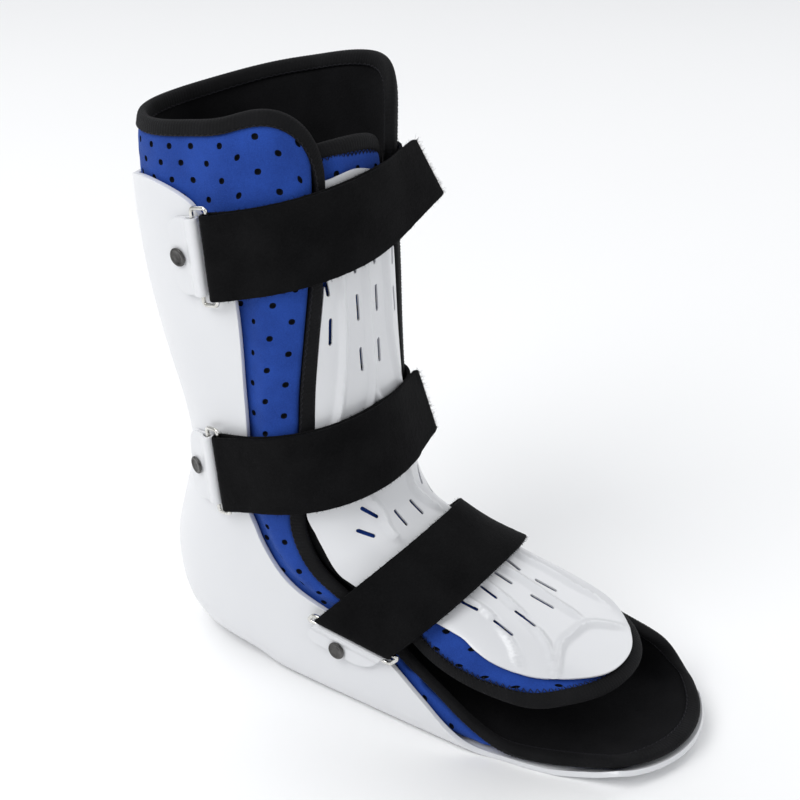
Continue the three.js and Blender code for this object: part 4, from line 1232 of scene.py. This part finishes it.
def fibreTubes(roots, ways, rng, length, radius, droop):
    tubes = []
    for root, way in zip(roots, ways):
        own = length * rng.uniform(0.45, 1.2)
        aim = unit(way + rng.normal(size=3) * 0.45)
        bend = unit(rng.normal(size=3)) * droop
        line = np.array([root + aim * own * t + bend * own * t * t for t in (0, 0.35, 0.7, 1)])
        side = unit(np.cross(aim, bend + np.array([0.01, 0.02, 0.03])))
        grid = tubeGrid(line, side, np.cross(side, aim), radius * fibre["taper"], 3)
        tubes.append((grid.reshape(-1, 3), tubeFaces(4, 3, False)))
    return tubes


nearHead = tab["thickness"] * 2 + 0.2 + 0.9
farHead = strap["thickness"] + 1.2
farInset = 0.04
# radius and height of each row of a rivet's head
nearProfile = [(2, -2.4), (2, nearHead), (4.6, nearHead), (5.0, nearHead + 0.2),
               (5.1, nearHead + 0.5), (4.95, nearHead + 0.85), (4.6, nearHead + 1.15),
               (4.2, nearHead + 1.22), (3.7, nearHead + 1.15), (3.2, nearHead + 0.85),
               (2.7, nearHead + 0.65), (2.1, nearHead + 0.55), (1.3, nearHead + 0.52),
               (0.9, nearHead + 0.4), (0.4, nearHead + 0.36)]
farProfile = [(2, -2.4), (2, farHead), (4.7, farHead), (5, farHead + 0.3), (4.9, farHead + 0.8),
              (4.2, farHead + 1.2), (2.8, farHead + 1.4), (1.2, farHead + 1.45),
              (0.3, farHead + 1.45)]
rng = np.random.default_rng(5)
for place, spec in strapTable.items():
    frameOf = StrapFrame(spec)
    grid = bandGrid(frameOf, strapSteps(spec), spec["width"] / 2, strap["columns"], spec["tail"],
                    strap["corner"], strap["pitch"], (spec["endLow"], spec["endHigh"]))
    band = sheetObject(f"strap_{place}_plush", grid, blackPlush)
    thicken(band, strap["thickness"], strap["bevel"], 2)
    subdivide(band)
    count = len(band.data.vertices)
    flatPoints = np.zeros(count * 3)
    normals = np.zeros(count * 3)
    band.data.vertices.foreach_get("co", flatPoints)
    band.data.vertices.foreach_get("normal", normals)
    flatPoints, normals = flatPoints.reshape(-1, 3) * 1000, normals.reshape(-1, 3)
    rise = sum(height * ripple(flatPoints, size, seed) for height, size, seed in nap)
    band.data.vertices.foreach_set("co", ((flatPoints + normals * rise[:, None]) / 1000).ravel())
    smoothShade(band, 80)
    settle(band, "black_plush", f"strap_{place}")
    middle = grid.shape[1] // 2
    endWay = unit(grid[-1, middle] - grid[-3, middle])
    across = unit(grid[-1, -1] - grid[-1, 0])
    tall = np.cross(endWay, across)
    count, length, radius, droop = fibre["end"]
    along = rng.uniform(0, 1, count)
    roots = grid[-1, 0] + (grid[-1, -1] - grid[-1, 0]) * along[:, None]
    roots = roots + tall * rng.uniform(-0.8, 0.8, count)[:, None] - endWay * 0.3
    tubes = fibreTubes(roots, np.tile(endWay, (count, 1)), rng, length, radius, droop)
    count, length, radius, droop = fibre["edge"]
    for column, sign in ((0, -1), (-1, 1)):
        rowsAt = rng.integers(grid.shape[0] // 8, grid.shape[0] - 2, count)
        ways = unit(grid[rowsAt, -1] - grid[rowsAt, 0]) * sign
        tubes += fibreTubes(grid[rowsAt, column], ways, rng, length, radius, droop)
    joinTubes(f"strap_{place}_fibres", tubes, blackPlush, "black_plush")

    half = spec["width"] / 2
    grid = bandGrid(frameOf, tabSteps(spec), half - tab["margin"], tab["columns"], 0,
                    tab["corner"], tab["pitch"])
    holder = sheetObject(f"ring_tab_{place}_plate", grid, whitePlastic)
    thicken(holder, tab["thickness"], tab["bevel"], 2)
    smoothShade(holder)
    settle(holder, "white_plastic", f"ring_tab_{place}")
    ring = ringObject(f"ring_{place}_wire", spec, frameOf)
    settle(ring, "nickel", f"ring_{place}")
    nearSpot = frameOf.spot(spec["bar"], wire["depth"] + spec["rivet"], half - tab["margin"])
    farSpot = frameOf.spot(spec["farShare"] + farInset, 0, half)
    for side, spot, profile in (("near", nearSpot, nearProfile), ("far", farSpot, farProfile)):
        head = rivetObject(f"rivet_{side}_{place}_head", *spot, profile)
        settle(head, "gunmetal", f"rivet_{side}_{place}")
    print("strap made:", place)

deselectAll()
